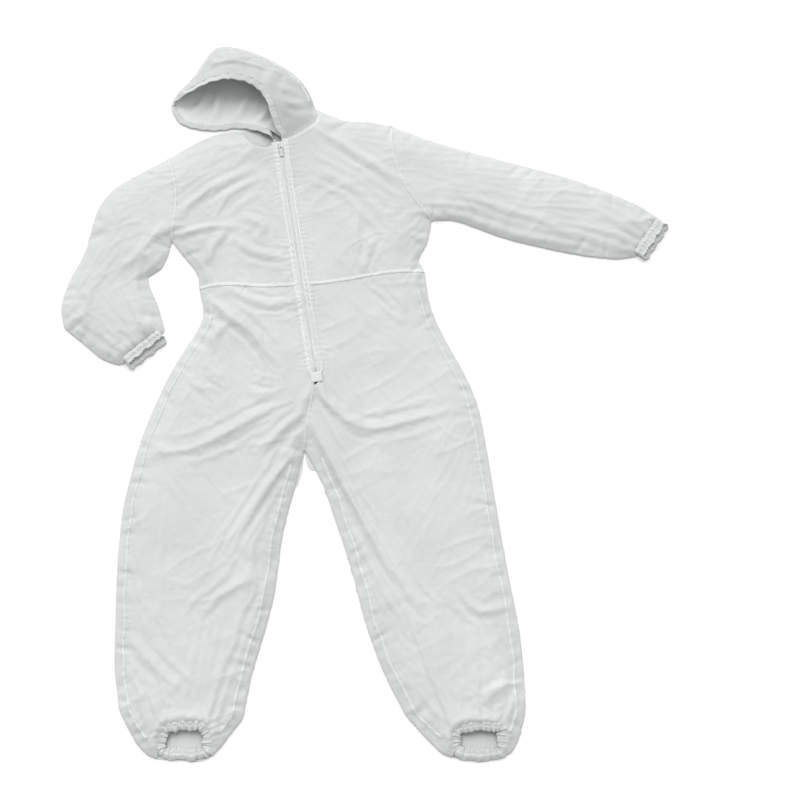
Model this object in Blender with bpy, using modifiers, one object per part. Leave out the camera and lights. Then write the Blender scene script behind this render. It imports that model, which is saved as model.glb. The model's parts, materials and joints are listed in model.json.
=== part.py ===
"""Hooded protective coverall (beekeeping suit) laid flat on its back, as an assembly of sewn pieces.

Frame: metres, +Z up, +Y towards the hood, origin on the floor under the middle of the garment.
"Right" and "left" are the wearer's, so the right half is at -X. The front is the upper layer.
The cloth is 0.15 mm thick; its solids stand in for it with WALL, and lie GAP clear of each other.
"""

import math

import bmesh
import bpy
import numpy as np
from mathutils import Vector

# ---- driving dimensions -------------------------------------------------------------------
WALL = 0.0015  # thickness of a cloth solid
GAP = 0.0004  # air between two cloth solids that lie on each other
SEAM_GAP = 0.0010  # air between two panels along the seam that joins them
PUFF_HEIGHT = 0.022  # how far the front stands off the back where the garment is wide
PUFF_REACH = 0.070  # distance from a folded edge at which the front is at full height
GRID = 0.040  # spacing of a panel's inner points
OUTLINE_STEP = 0.030  # spacing of the points along a curved outline
FRONT_RIM = WALL + GAP  # underside of the front panels at a folded edge
FRONT_TOP = FRONT_RIM + WALL + PUFF_HEIGHT  # outer face of the front at full height

ZIP_TOP = Vector((-0.212, 0.588))  # upper end of the zip, at the neckline
ZIP_END = Vector((-0.114, -0.008))  # lower end of the zip, above the crotch
WAIST_AT = 0.379  # along the zip, where the waist seam crosses it
ZIP_OPENING = 0.012  # between the two folded cloth edges beside the zip

HOOD_HEIGHT = 0.060  # rise of the hood's upper side over its lower side
HOOD_REACH = 0.095  # distance from the crown seam at which the hood is at full height
HOOD_NECK_SLOPE = 0.35  # how steeply the hood rises from the neckline
HOOD_RIM = WALL + GAP  # underside of the hood's lower side, which lies over the back neckline
LOWER_RISE = 0.014  # of the hood's lower side, at the end of its face hem
LOWER_RISE_REACH = 0.10  # distance from that end over which it rises
FACE_HEM_DEPTH = 0.013  # of the hem round the face opening, from its rim into the hood
HEM_GAP = 0.0018  # between the hem and its elastic
FACE_ELASTIC_THICKNESS = 0.0010
FACE_ELASTIC_DEPTH = 0.009
FACE_ELASTIC_INSET = 0.002  # from the hem's rim to the elastic
HOOD_GRIDS = (0.050, 0.030)  # spacing of the inner points of the lower and the upper hood panel

CUFF_HALF_WIDTH = 0.053
ANKLE_HALF_WIDTH = 0.052
ANKLE_RIGHT = (-0.372, -0.787)  # middle of the front leg's lower edge
ANKLE_LEFT = (0.243, -0.787)
ANKLE_ROOM = 0.003  # between the ankle hem and the leg folded round it
CUFF_HALF_HEIGHT = 0.0100
HEM_DEPTH = 0.018  # along the limb
ELASTIC_DEPTH = 0.011
ELASTIC_THICKNESS = 0.0014
HEM_WALL = 0.0009  # a hem's cloth, outside and inside the elastic
HEM_ROOM = 0.0022  # between the two
RING_POINTS = 20

WAIST_ELASTIC_THICKNESS = 0.0012
WAIST_ELASTIC_DEPTH = 0.018
WAIST_CASING_THICKNESS = 0.0009
WAIST_CASING_DEPTH = 0.026
WAIST_STATIONS = 23  # points across the back; the elastic ends one short of each side seam

TAPE_WIDTH = 0.0140  # each half of the zip tape
TAPE_THICKNESS = 0.0006
TAPE_INNER = 0.0009  # from the zip's centre line to the inner edge of a tape
TAPE_END_ROOM = 0.001  # from the tape's lower end to the end of the opening
COIL_INNER = 0.0007  # from the zip's centre line to the inner side of a coil
COIL_WIDTH = 0.0026
COIL_HEIGHT = 0.0016
COIL_LIFT = 0.0003  # of the coils and stops above the tape
COIL_END_ROOM = 0.008  # from the coils' lower end to the end of the opening

CLOTH = ((0.86, 0.87, 0.87), 0.75, 0.0)
THREAD_WHITE = ((0.93, 0.93, 0.93), 0.65, 0.0)
ELASTIC_WHITE = ((0.90, 0.90, 0.88), 0.85, 0.0)
NYLON = ((0.92, 0.92, 0.91), 0.35, 0.0)
ENAMEL = ((0.80, 0.81, 0.82), 0.30, 0.8)

# ---- outlines on the floor plane, as points that a smooth curve runs through -----------------
NECK_RIGHT = [(-0.310, 0.627), (-0.292, 0.597), (-0.270, 0.575), (-0.243, 0.570), (-0.2180, 0.586)]
NECK_LEFT = [
    (-0.2061, 0.588), (-0.179, 0.603), (-0.150, 0.623), (-0.130, 0.640), (-0.123, 0.665), (-0.132, 0.690),
]
NECK_BACK = [(-0.310, 0.627), (-0.262, 0.633), (-0.200, 0.655), (-0.132, 0.690)]
SHOULDER_RIGHT = [(-0.310, 0.627), (-0.361, 0.620), (-0.406, 0.600), (-0.441, 0.578), (-0.481, 0.550)]
SHOULDER_LEFT = [(-0.132, 0.690), (-0.106, 0.677), (-0.052, 0.654), (-0.008, 0.654), (0.055, 0.641)]
ARMHOLE_RIGHT = [(-0.481, 0.550), (-0.466, 0.504), (-0.456, 0.451), (-0.456, 0.398), (-0.462, 0.335)]
ARMHOLE_LEFT = [(0.055, 0.641), (0.057, 0.586), (0.069, 0.523), (0.093, 0.469), (0.122, 0.424), (0.150, 0.388)]
SIDE_RIGHT = [(-0.462, 0.335), (-0.429, 0.291), (-0.397, 0.250), (-0.390, 0.211)]
SIDE_LEFT = [(0.150, 0.388), (0.140, 0.330), (0.118, 0.285), (0.133, 0.254)]
WAIST_RIGHT = [(-0.390, 0.211), (-0.318, 0.214), (-0.248, 0.210), (-0.1564, 0.2130)]
WAIST_BACK = [
    (-0.390, 0.211), (-0.318, 0.214), (-0.248, 0.210), (-0.150, 0.214), (-0.040, 0.228), (0.042, 0.243),
    (0.133, 0.254),
]
BACK_WAIST_MIDDLE = (-0.150, 0.214)
WAIST_LEFT = [(-0.1446, 0.2149), (-0.109, 0.217), (-0.040, 0.228), (0.042, 0.243), (0.133, 0.254)]
LEG_OUTER_RIGHT = [
    (-0.390, 0.211), (-0.378, 0.135), (-0.415, 0.058), (-0.445, 0.000), (-0.475, -0.075), (-0.505, -0.170),
    (-0.526, -0.275), (-0.535, -0.350), (-0.537, -0.460), (-0.533, -0.570), (-0.528, -0.670), (-0.512, -0.760),
]
LEG_END_RIGHT = [
    (-0.512, -0.760), (-0.470, -0.830), (-0.431, -0.858), (-0.385, -0.8614), (-0.321, -0.858), (-0.254, -0.774),
]
LEG_INNER_RIGHT = [
    (-0.254, -0.774), (-0.240, -0.690), (-0.216, -0.600), (-0.195, -0.505), (-0.182, -0.380), (-0.162, -0.290),
    (-0.137, -0.182),
]
LEG_OUTER_LEFT = [
    (0.133, 0.254), (0.146, 0.166), (0.178, 0.085), (0.215, 0.014), (0.248, -0.066), (0.266, -0.160),
    (0.284, -0.289), (0.300, -0.400), (0.316, -0.500), (0.331, -0.590), (0.338, -0.680), (0.339, -0.760),
]
LEG_END_LEFT = [
    (0.339, -0.760), (0.318, -0.830), (0.284, -0.855), (0.184, -0.855), (0.143, -0.827), (0.091, -0.772),
]
LEG_INNER_LEFT = [
    (0.091, -0.772), (0.043, -0.680), (0.002, -0.570), (-0.027, -0.460), (-0.065, -0.346), (-0.095, -0.261),
    (-0.137, -0.182),
]
CROTCH_SEAM = [(-0.114, -0.012), (-0.122, -0.068), (-0.133, -0.130), (-0.137, -0.182)]

SLEEVE_LEFT_OUTER = [
    (0.055, 0.641), (0.168, 0.594), (0.317, 0.548), (0.471, 0.502), (0.576, 0.459), (0.652, 0.420),
    (0.693, 0.388),
]
SLEEVE_LEFT_INNER = [
    (0.150, 0.388), (0.212, 0.386), (0.314, 0.345), (0.394, 0.322), (0.498, 0.298), (0.580, 0.288),
    (0.629, 0.294),
]
SLEEVE_RIGHT_OUTER = [
    (-0.481, 0.550), (-0.557, 0.504), (-0.612, 0.462), (-0.643, 0.403), (-0.660, 0.310), (-0.694, 0.225),
    (-0.7065, 0.165), (-0.696, 0.111), (-0.644, 0.068), (-0.600, 0.033), (-0.560, 0.020),
]
SLEEVE_RIGHT_INNER = [
    (-0.462, 0.335), (-0.468, 0.300), (-0.483, 0.262), (-0.514, 0.240), (-0.510, 0.222), (-0.501, 0.200),
    (-0.490, 0.178), (-0.482, 0.155), (-0.475, 0.135), (-0.470, 0.118), (-0.466, 0.104),
]

CROWN = [
    (-0.132, 0.693), (-0.148, 0.735), (-0.172, 0.772), (-0.215, 0.808), (-0.275, 0.842), (-0.335, 0.862),
    (-0.378, 0.860), (-0.405, 0.822), (-0.432, 0.775), (-0.462, 0.738), (-0.482, 0.700),
]
MOUTH_UPPER = [
    (-0.482, 0.700), (-0.455, 0.705), (-0.418, 0.718), (-0.385, 0.729), (-0.340, 0.736), (-0.295, 0.730),
    (-0.260, 0.706), (-0.241, 0.672), (-0.229, 0.636), (-0.2120, 0.598),
]
MOUTH_LOWER = [
    (-0.482, 0.700), (-0.474, 0.673), (-0.449, 0.645), (-0.405, 0.632), (-0.360, 0.630), (-0.320, 0.636),
    (-0.278, 0.628), (-0.242, 0.613),
]


# ---- geometry helpers ------------------------------------------------------------------------
def smooth(points, step=OUTLINE_STEP):
    """Points about step apart on the Catmull-Rom curve through the given ones."""
    p = [np.array(q, float) for q in points]
    ends = [2 * p[0] - p[1]] + p + [2 * p[-1] - p[-2]]
    out = [p[0]]
    for a, b, c, d in zip(ends, ends[1:], ends[2:], ends[3:]):
        count = max(1, math.ceil(np.linalg.norm(c - b) / step))
        for k in range(1, count + 1):
            t = k / count
            bend = 2 * a - 5 * b + 4 * c - d
            twist = 3 * b - a - 3 * c + d
            out.append(0.5 * (2 * b + (c - a) * t + bend * t**2 + twist * t**3))
    return out


def chain(*runs):
    """One closed outline from runs that follow each other, without the doubled corner points."""
    out = []
    for run in runs:
        for point in run:
            if not out or np.linalg.norm(np.array(point) - out[-1]) > 1e-6:
                out.append(np.array(point, float))
    if np.linalg.norm(out[0] - out[-1]) < 1e-6:
        out.pop()
    return out


def signed_area(outline):
    p = np.array(outline)
    q = np.roll(p, -1, axis=0)
    return 0.5 * float(np.sum(p[:, 0] * q[:, 1] - q[:, 0] * p[:, 1]))


def inset(outline, distance):
    """The outline moved inwards, each corner along the bisector of its two edges."""
    p = outline if signed_area(outline) > 0 else outline[::-1]
    out = []
    for i, point in enumerate(p):
        before = point - p[i - 1]
        after = p[(i + 1) % len(p)] - point
        normals = [np.array((-e[1], e[0])) / np.linalg.norm(e) for e in (before, after)]
        bisector = normals[0] + normals[1]
        bisector /= max(np.linalg.norm(bisector), 1e-9)
        stretch = max(float(bisector @ normals[0]), 0.35)
        out.append(point + bisector * distance / stretch)
    return out


def distance_to(runs, x, y):
    """Distance from (x, y) to the nearest of several open runs of points."""
    best = 1e9
    for run in runs:
        a = np.array(run[:-1])
        d = np.array(run[1:]) - a
        p = np.array((x, y))
        t = np.clip(((p - a) * d).sum(1) / (d * d).sum(1), 0, 1)
        best = min(best, float(np.linalg.norm(p - a - t[:, None] * d, axis=1).min()))
    return best


FOLDS = [
    smooth(run)
    for run in (
        SHOULDER_RIGHT, SHOULDER_LEFT, SIDE_RIGHT, SIDE_LEFT, LEG_OUTER_RIGHT, LEG_END_RIGHT, LEG_INNER_RIGHT,
        LEG_OUTER_LEFT, LEG_END_LEFT, LEG_INNER_LEFT, SLEEVE_LEFT_OUTER, SLEEVE_LEFT_INNER, SLEEVE_RIGHT_OUTER,
        SLEEVE_RIGHT_INNER,
    )
]
CROWN_FOLD = [smooth(CROWN)]
FRONT_NECK = [smooth(NECK_RIGHT), smooth(NECK_LEFT)]


def rise(distance, height, reach):
    """A rounded rise from a folded edge that ends level: a parabola up to reach."""
    return height * (1 - (1 - min(distance / reach, 1)) ** 2)


def front_height(x, y):
    """Outer face of the front layer."""
    return FRONT_RIM + WALL + rise(distance_to(FOLDS, x, y), PUFF_HEIGHT, PUFF_REACH)


def hood_height(x, y):
    """Outer face of the hood's upper side: up from the crown seam, and down to the neckline."""
    crown = HOOD_RIM + WALL + GAP + WALL + rise(distance_to(CROWN_FOLD, x, y), HOOD_HEIGHT, HOOD_REACH)
    neck = FRONT_TOP + HOOD_NECK_SLOPE * distance_to(FRONT_NECK, x, y)
    return min(crown, neck)


def hood_underside_height(x, y):
    """Upper face of the hood's lower side: flat on the floor, and up to the zip's top end."""
    from_end = math.hypot(x - MOUTH_LOWER[-1][0], y - MOUTH_LOWER[-1][1])
    nearness = 1 - min(from_end / LOWER_RISE_REACH, 1)
    return HOOD_RIM + WALL + LOWER_RISE * nearness**2


# ---- objects ---------------------------------------------------------------------------------
def material(name, look):
    colour, roughness, metallic = look
    made = bpy.data.materials.new(name)
    made.use_nodes = True
    shader = made.node_tree.nodes["Principled BSDF"]
    shader.inputs["Base Color"].default_value = (*colour, 1)
    shader.inputs["Roughness"].default_value = roughness
    shader.inputs["Metallic"].default_value = metallic
    return made


def add_object(name, data, look, parent=None):
    made = bpy.data.objects.new(name, data)
    data.materials.append(material(name, look))
    suit.objects.link(made)
    made.parent = parent
    return made


def mesh_from(bm, name):
    bmesh.ops.recalc_face_normals(bm, faces=bm.faces)
    mesh = bpy.data.meshes.new(name)
    bm.to_mesh(mesh)
    bm.free()
    mesh.shade_smooth()
    mesh.set_sharp_from_angle(angle=math.radians(40))
    return mesh


def domed_panel(name, outline, height, look=CLOTH, grid=GRID, wall=WALL):
    """A cloth panel: its outline filled, cut into a grid, lifted to height(x, y) and given thickness."""
    points = inset(outline, SEAM_GAP / 2)
    bm = bmesh.new()
    bm.faces.new([bm.verts.new((x, y, 0)) for x, y in points])
    bm.normal_update()
    low, high = np.min(points, axis=0), np.max(points, axis=0)
    for axis in (0, 1):
        normal = Vector((axis == 0, axis == 1, 0))
        for line in np.arange(low[axis] + grid * 0.6, high[axis] - grid * 0.3, grid):
            geometry = bm.verts[:] + bm.edges[:] + bm.faces[:]
            bmesh.ops.bisect_plane(bm, geom=geometry, dist=1e-5, plane_co=normal * line, plane_no=normal)
    bmesh.ops.triangulate(bm, faces=bm.faces)
    for vert in bm.verts:
        vert.co.z = height(vert.co.x, vert.co.y)
    made = bmesh.ops.extrude_face_region(bm, geom=bm.faces[:])
    lower = [item for item in made["geom"] if isinstance(item, bmesh.types.BMVert)]
    bmesh.ops.translate(bm, verts=lower, vec=(0, 0, -wall))
    return add_object(name, mesh_from(bm, name), look)


def flat_shape(name, outlines, thickness, look, parent=None):
    """Flat outlines, the first round the others as holes, as a filled 2D curve extruded both ways."""
    curve = bpy.data.curves.new(name, "CURVE")
    curve.dimensions = "2D"
    curve.fill_mode = "BOTH"
    curve.extrude = thickness / 2
    for points in outlines:
        spline = curve.splines.new("POLY")
        spline.points.add(len(points) - 1)
        for slot, (x, y) in zip(spline.points, points):
            slot.co = (x, y, 0, 1)
        spline.use_cyclic_u = True
    return add_object(name, curve, look, parent)


def flat_panel(name, outline):
    """A cloth panel that lies on the floor."""
    made = flat_shape(name, [inset(outline, SEAM_GAP / 2)], WALL, CLOTH)
    made.location.z = WALL / 2


def sweep(name, path, section, ups, look, closed=False, parent=None):
    """A section of (side, up) offsets carried along a path; ups holds each point's up direction."""
    path = [Vector(p) for p in path]
    bm = bmesh.new()
    rings = []
    for i, (point, up) in enumerate(zip(path, ups)):
        before = path[i - 1] if closed or i else point
        after = path[(i + 1) % len(path)] if closed or i < len(path) - 1 else point
        tangent = (after - before).normalized()
        side = tangent.cross(Vector(up)).normalized()
        lift = side.cross(tangent)
        rings.append([bm.verts.new(point + side * a + lift * b) for a, b in section])
    pairs = list(zip(rings, rings[1:])) + ([(rings[-1], rings[0])] if closed else [])
    for one, two in pairs:
        for k in range(len(section)):
            n = (k + 1) % len(section)
            bm.faces.new((one[k], one[n], two[n], two[k]))
    if not closed:
        bm.faces.new(rings[0])
        bm.faces.new(rings[-1][::-1])
    bmesh.ops.triangulate(bm, faces=bm.faces)
    return add_object(name, mesh_from(bm, name), look, parent)


def rectangle(low, high, start, end):
    """A sweep section from low to high across the thickness and from start to end across the width."""
    return [(low, start), (high, start), (high, end), (low, end)]


# ---- sleeves ---------------------------------------------------------------------------------
def sleeve(name, outer, inner, armhole):
    """A flattened tube between its two folded edges, from the armhole to the cuff, open at both ends."""
    across = 8
    stations = 4
    outer_edge = smooth(outer, 10.0)
    inner_edge = smooth(inner, 10.0)
    arm = resampled(armhole, across + 1)
    rows = []
    for i in range((len(outer_edge) - 1) * stations + 1):
        t = i / stations
        a, b = along(outer_edge, t), along(inner_edge, t)
        fade = max(0, 1 - t / (len(outer_edge) - 1)) ** 3
        row = []
        for k in range(across + 1):
            v = k / across
            straight = a + (b - a) * v
            bow = arm[k] - (outer_edge[0] + (inner_edge[0] - outer_edge[0]) * v)
            row.append(straight + bow * fade)
        rows.append(row)
    rows = shifted_root(rows)
    bm = bmesh.new()
    rings = []
    for row in rows:
        upper = [bm.verts.new((x, y, front_height(x, y))) for x, y in row]
        lower = [bm.verts.new((x, y, 0)) for x, y in row[::-1]]
        rings.append(upper + lower)
    for one, two in zip(rings, rings[1:]):
        for k in range(len(one)):
            n = (k + 1) % len(one)
            bm.faces.new((one[k], one[n], two[n], two[k]))
    made = add_object(name, mesh_from(bm, name), CLOTH)
    shell = made.modifiers.new("cloth", "SOLIDIFY")
    shell.thickness = WALL
    shell.offset = -1
    return made


def along(points, t):
    """The point at t on a run whose points are at whole numbers, straight between them."""
    i = min(int(t), len(points) - 2)
    return points[i] + (points[i + 1] - points[i]) * (t - i)


def resampled(points, count):
    """count points at equal spacing along the smooth curve through points."""
    run = np.array(smooth(points, 0.01))
    length = np.concatenate([[0], np.cumsum(np.linalg.norm(np.diff(run, axis=0), axis=1))])
    at = np.linspace(0, length[-1], count)
    return np.stack([np.interp(at, length, run[:, k]) for k in (0, 1)], axis=1)


def shifted_root(rows):
    """The rows with the first moved off the armhole seam, so that the sleeve clears the bodice."""
    first = [a + (b - a) / np.linalg.norm(b - a) * SEAM_GAP for a, b in zip(rows[0], rows[1])]
    return [first] + rows[1:]


# ---- gathered hems ---------------------------------------------------------------------------
def gathered_hem(side, limb, edge, half_width):
    """A hem folded inwards round its elastic: a channel on a flattened ring, open towards the limb.

    edge holds the two ends of the limb's edge; the limb lies on the left of the way from one to the other.
    """
    one, two = (Vector((*point, 0)) for point in edge)
    across = (two - one).normalized()
    facing = Vector((across.y, -across.x, 0))
    middle = (one + two) / 2 + facing * (SEAM_GAP + HEM_DEPTH / 2)
    middle.z = FRONT_RIM + CUFF_HALF_HEIGHT
    path = []
    for k in range(RING_POINTS):
        angle = 2 * math.pi * (k + 0.5) / RING_POINTS
        straight = math.copysign(half_width - CUFF_HALF_HEIGHT, math.cos(angle))
        sideways = across * (straight + CUFF_HALF_HEIGHT * math.cos(angle))
        path.append(middle + sideways + Vector((0, 0, CUFF_HALF_HEIGHT * math.sin(angle))))
    near, far = -HEM_DEPTH / 2, HEM_DEPTH / 2
    inner = 2 * HEM_WALL + HEM_ROOM
    channel = [
        (0, near), (0, far), (-inner, far), (-inner, near), (HEM_WALL - inner, near),
        (HEM_WALL - inner, far - HEM_WALL), (-HEM_WALL, far - HEM_WALL), (-HEM_WALL, near),
    ]
    ups = [facing] * RING_POINTS
    sweep(f"{limb}_hem_{side}", path, channel, ups, CLOTH, closed=True)
    start = -HEM_WALL - (HEM_ROOM - ELASTIC_THICKNESS) / 2
    band = rectangle(start, start - ELASTIC_THICKNESS, -ELASTIC_DEPTH / 2, ELASTIC_DEPTH / 2)
    sweep(f"{limb}_elastic_{side}", path, band, ups, ELASTIC_WHITE, closed=True)


# ---- zip -------------------------------------------------------------------------------------
ZIP_LENGTH = (ZIP_END - ZIP_TOP).length
ZIP_TURN = math.atan2(ZIP_END.x - ZIP_TOP.x, ZIP_TOP.y - ZIP_END.y)
TAPE_TOP = FRONT_TOP - WALL - GAP
COIL_BASE = TAPE_TOP + COIL_LIFT
COIL_TOP = COIL_BASE + COIL_HEIGHT
STOP_AT = 0.006  # from the zip's top end to the top stops
STOP_LENGTH = 0.004
STOP_OVERHANG = 0.0006  # of the stops past the coils, outwards
STOP_RISE = 0.0004  # of the stops above the coils
STOP_GAP = 0.0004  # between a stop and the coil's end
SLIDER_GAP = 0.0005  # between the top stops and the raised slider
SLIDER_LENGTH = 0.012
SLIDER_HALF_WIDTH = 0.0049
SLIDER_AT = -STOP_AT - STOP_LENGTH - SLIDER_LENGTH / 2 - SLIDER_GAP  # along the zip from its top end
SLIDER_CLEARANCE = 0.0004  # between a wing and the coil or tape beside it
FLANGE_CLEARANCE = 0.00035  # between a flange and the tape
FLANGE = 0.0010  # width of the slider's turned-in sides
POST_HALF_WIDTH = 0.0004
POST_INSET = 0.001  # of the post from the slider's ends
WING = 0.0011
TOP_WING = COIL_TOP + SLIDER_CLEARANCE
BOTTOM_WING = TAPE_TOP - TAPE_THICKNESS - SLIDER_CLEARANCE
BRIDGE_LENGTH = 0.008
BRIDGE_WIDTH = 0.0022
BRIDGE_BAR = 0.0009
BRIDGE_ROOM = 0.0009  # from the tab's pivot up to the bridge
PIVOT_HEIGHT = TOP_WING + WING + 0.0008  # the tab's bar turns just clear of the wing
TAB_WIDTH = 0.0075
TAB_LENGTH = 0.026
TAB_THICKNESS = 0.0010
TAB_BAR = 0.0011
EYE_WIDTH = 0.0044
EYE_LENGTH = 0.0058
PATCH_HALF_WIDTH = 0.013
PATCH_NEAR = 0.005  # from the end of the opening to the patch's upper edge
PATCH_FAR = 0.022


def block_mesh(name, boxes):
    """Boxes given by their low and high corners, united into one body."""
    objects = []
    for low, high in boxes:
        bm = bmesh.new()
        bmesh.ops.create_cube(bm, size=1)
        size = [h - l for l, h in zip(low, high)]
        middle = [(h + l) / 2 for l, h in zip(low, high)]
        bmesh.ops.scale(bm, vec=size, verts=bm.verts)
        bmesh.ops.translate(bm, vec=middle, verts=bm.verts)
        mesh = bpy.data.meshes.new(name)
        bm.to_mesh(mesh)
        bm.free()
        objects.append(bpy.data.objects.new(f"{name}_box", mesh))
        cutters.objects.link(objects[-1])
    base = objects[0]
    for other in objects[1:]:
        join = base.modifiers.new("join", "BOOLEAN")
        join.operation = "UNION"
        join.object = other
    bpy.context.view_layer.update()
    graph = bpy.context.evaluated_depsgraph_get()
    mesh = bpy.data.meshes.new_from_object(base.evaluated_get(graph))
    for made in objects:
        bpy.data.objects.remove(made)
    mesh.name = name
    return mesh


def mirrored(low, high):
    """The same box on the other side of the zip's centre line."""
    return (-high[0], low[1], low[2]), (-low[0], high[1], high[2])


def slider_boxes():
    """Two wings with turned-in flanges, joined by a thin post, and a bridge for the pull tab."""
    half = SLIDER_LENGTH / 2
    outer = SLIDER_HALF_WIDTH
    slot_low, slot_high = TAPE_TOP - TAPE_THICKNESS - FLANGE_CLEARANCE, TAPE_TOP + FLANGE_CLEARANCE
    post_end = half - POST_INSET
    boxes = [
        ((-outer, -half, TOP_WING), (outer, half, TOP_WING + WING)),
        ((-outer, -half, BOTTOM_WING - WING), (outer, half, BOTTOM_WING)),
        (
            (-POST_HALF_WIDTH, -post_end, BOTTOM_WING - WING / 2),
            (POST_HALF_WIDTH, post_end, TOP_WING + WING / 2),
        ),
    ]
    top_flange = ((outer - FLANGE, -half, slot_high), (outer, half, TOP_WING + WING / 2))
    low_flange = ((outer - FLANGE, -half, BOTTOM_WING - WING / 2), (outer, half, slot_low))
    boxes += [top_flange, mirrored(*top_flange), low_flange, mirrored(*low_flange)]
    wide = BRIDGE_WIDTH / 2
    foot = TOP_WING + WING / 2
    crown = PIVOT_HEIGHT + BRIDGE_ROOM
    long = BRIDGE_LENGTH / 2
    boxes += [
        ((-wide, -long, foot), (wide, -long + BRIDGE_BAR, crown + BRIDGE_BAR)),
        ((-wide, long - BRIDGE_BAR, foot), (wide, long, crown + BRIDGE_BAR)),
        ((-wide, -long, crown), (wide, long, crown + BRIDGE_BAR)),
    ]
    return boxes


def rounded(low_x, high_x, low_y, high_y, radius, corner_points=4):
    """A rectangle with rounded corners."""
    points = []
    for x, y, start in (
        (high_x, high_y, 0), (low_x, high_y, 90), (low_x, low_y, 180), (high_x, low_y, 270),
    ):
        inner_x = x - math.copysign(radius, x)
        inner_y = y - radius if y == high_y else y + radius
        for k in range(corner_points):
            angle = math.radians(start + 90 * k / (corner_points - 1))
            points.append((inner_x + radius * math.cos(angle), inner_y + radius * math.sin(angle)))
    return points


def pull_tab(parent):
    """A flat tab with an eye at its upper end; the bar beyond the eye lies in the slider's bridge."""
    wide, eye = TAB_WIDTH / 2, EYE_WIDTH / 2
    outer = rounded(-wide, wide, -TAB_LENGTH, TAB_BAR / 2, TAB_BAR / 2)
    hole = rounded(-eye, eye, -TAB_BAR / 2 - EYE_LENGTH, -TAB_BAR / 2, TAB_BAR / 2)
    return flat_shape("zip_pull_tab", [outer, hole], TAB_THICKNESS, ENAMEL, parent)


def build_zip():
    """The zip lies along its own axis: an empty at its top end, turned so that local -Y runs down it."""
    axis = bpy.data.objects.new("zip_axis", None)
    axis.location = (*ZIP_TOP, 0)
    axis.rotation_euler.z = ZIP_TURN
    suit.objects.link(axis)
    for side, sign in (("right", -1), ("left", 1)):

        def strip(inner, width, low, high, start, end):
            near, far = sorted((sign * inner, sign * (inner + width)))
            return [((near, -end, low), (far, -start, high))]

        tape_low = TAPE_TOP - TAPE_THICKNESS
        tape = strip(TAPE_INNER, TAPE_WIDTH, tape_low, TAPE_TOP, 0, ZIP_LENGTH - TAPE_END_ROOM)
        stop_end = STOP_AT + STOP_LENGTH
        coil_end = ZIP_LENGTH - COIL_END_ROOM
        coil = strip(COIL_INNER, COIL_WIDTH, COIL_BASE, COIL_TOP, stop_end + STOP_GAP, coil_end)
        stop = strip(COIL_INNER, COIL_WIDTH + STOP_OVERHANG, COIL_BASE, COIL_TOP + STOP_RISE, STOP_AT, stop_end)
        add_object(f"zip_tape_{side}", block_mesh("tape", tape), THREAD_WHITE, axis)
        add_object(f"zip_coil_{side}", block_mesh("coil", coil), NYLON, axis)
        add_object(f"zip_top_stop_{side}", block_mesh("stop", stop), ENAMEL, axis)
    end = COIL_END_ROOM - ZIP_LENGTH - STOP_GAP
    reach = COIL_INNER + COIL_WIDTH + STOP_OVERHANG
    bottom_stop = [((-reach, end - STOP_LENGTH, COIL_BASE), (reach, end, COIL_TOP + STOP_RISE))]
    add_object("zip_bottom_stop", block_mesh("bottom_stop", bottom_stop), ENAMEL, axis)
    top = FRONT_TOP + GAP
    patch = [
        (
            (-PATCH_HALF_WIDTH, -ZIP_LENGTH - PATCH_FAR, top),
            (PATCH_HALF_WIDTH, -ZIP_LENGTH - PATCH_NEAR, top + WALL / 2),
        )
    ]
    add_object("fly_patch", block_mesh("patch", patch), CLOTH, axis)
    slider = add_object("zip_slider", block_mesh("slider", slider_boxes()), ENAMEL, axis)
    slider.location.y = SLIDER_AT
    pull_tab(axis).location = (0, SLIDER_AT, PIVOT_HEIGHT)


# ---- the garment -----------------------------------------------------------------------------
def zip_edge(sign, start, end):
    """The folded cloth edge beside the zip, from start to end along it; sign -1 is the right side."""
    down = (ZIP_END - ZIP_TOP).normalized()
    across = Vector((-down.y, down.x))
    points = [ZIP_TOP + down * s + across * sign * ZIP_OPENING / 2 for s in (start, end)]
    return [np.array(p) for p in points]


def build_bodice():
    right = chain(
        smooth(WAIST_RIGHT)[:-1], zip_edge(-1, WAIST_AT, 0.001), smooth(NECK_RIGHT)[-2::-1],
        smooth(SHOULDER_RIGHT), smooth(ARMHOLE_RIGHT), smooth(SIDE_RIGHT),
    )
    left = chain(
        smooth(NECK_LEFT)[1:], smooth(SHOULDER_LEFT), smooth(ARMHOLE_LEFT), smooth(SIDE_LEFT),
        smooth(WAIST_LEFT)[:0:-1], zip_edge(1, WAIST_AT, 0.001),
    )
    domed_panel("front_bodice_right", right, front_height)
    domed_panel("front_bodice_left", left, front_height)
    back = chain(
        smooth(NECK_BACK), smooth(SHOULDER_LEFT), smooth(ARMHOLE_LEFT), smooth(SIDE_LEFT),
        smooth(WAIST_BACK)[::-1], smooth(SIDE_RIGHT)[::-1], smooth(ARMHOLE_RIGHT)[::-1],
        smooth(SHOULDER_RIGHT)[::-1],
    )
    flat_panel("back_bodice", back)


def build_waistband():
    """The elastic sewn across the back's inner side under its casing, from side to side."""
    inner = resampled(WAIST_BACK, WAIST_STATIONS)[1:-1]
    up = [Vector((0, 1, 0))] * len(inner)
    elastic_low = WALL + GAP
    casing_low = elastic_low + WAIST_ELASTIC_THICKNESS + GAP
    for name, bottom, thickness, depth, look in (
        ("waist_elastic", elastic_low, WAIST_ELASTIC_THICKNESS, WAIST_ELASTIC_DEPTH, ELASTIC_WHITE),
        ("waist_casing", casing_low, WAIST_CASING_THICKNESS, WAIST_CASING_DEPTH, CLOTH),
    ):
        path = [(x, y, bottom) for x, y in inner]
        sweep(name, path, rectangle(0, thickness, -depth / 2, depth / 2), up, look)


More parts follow.
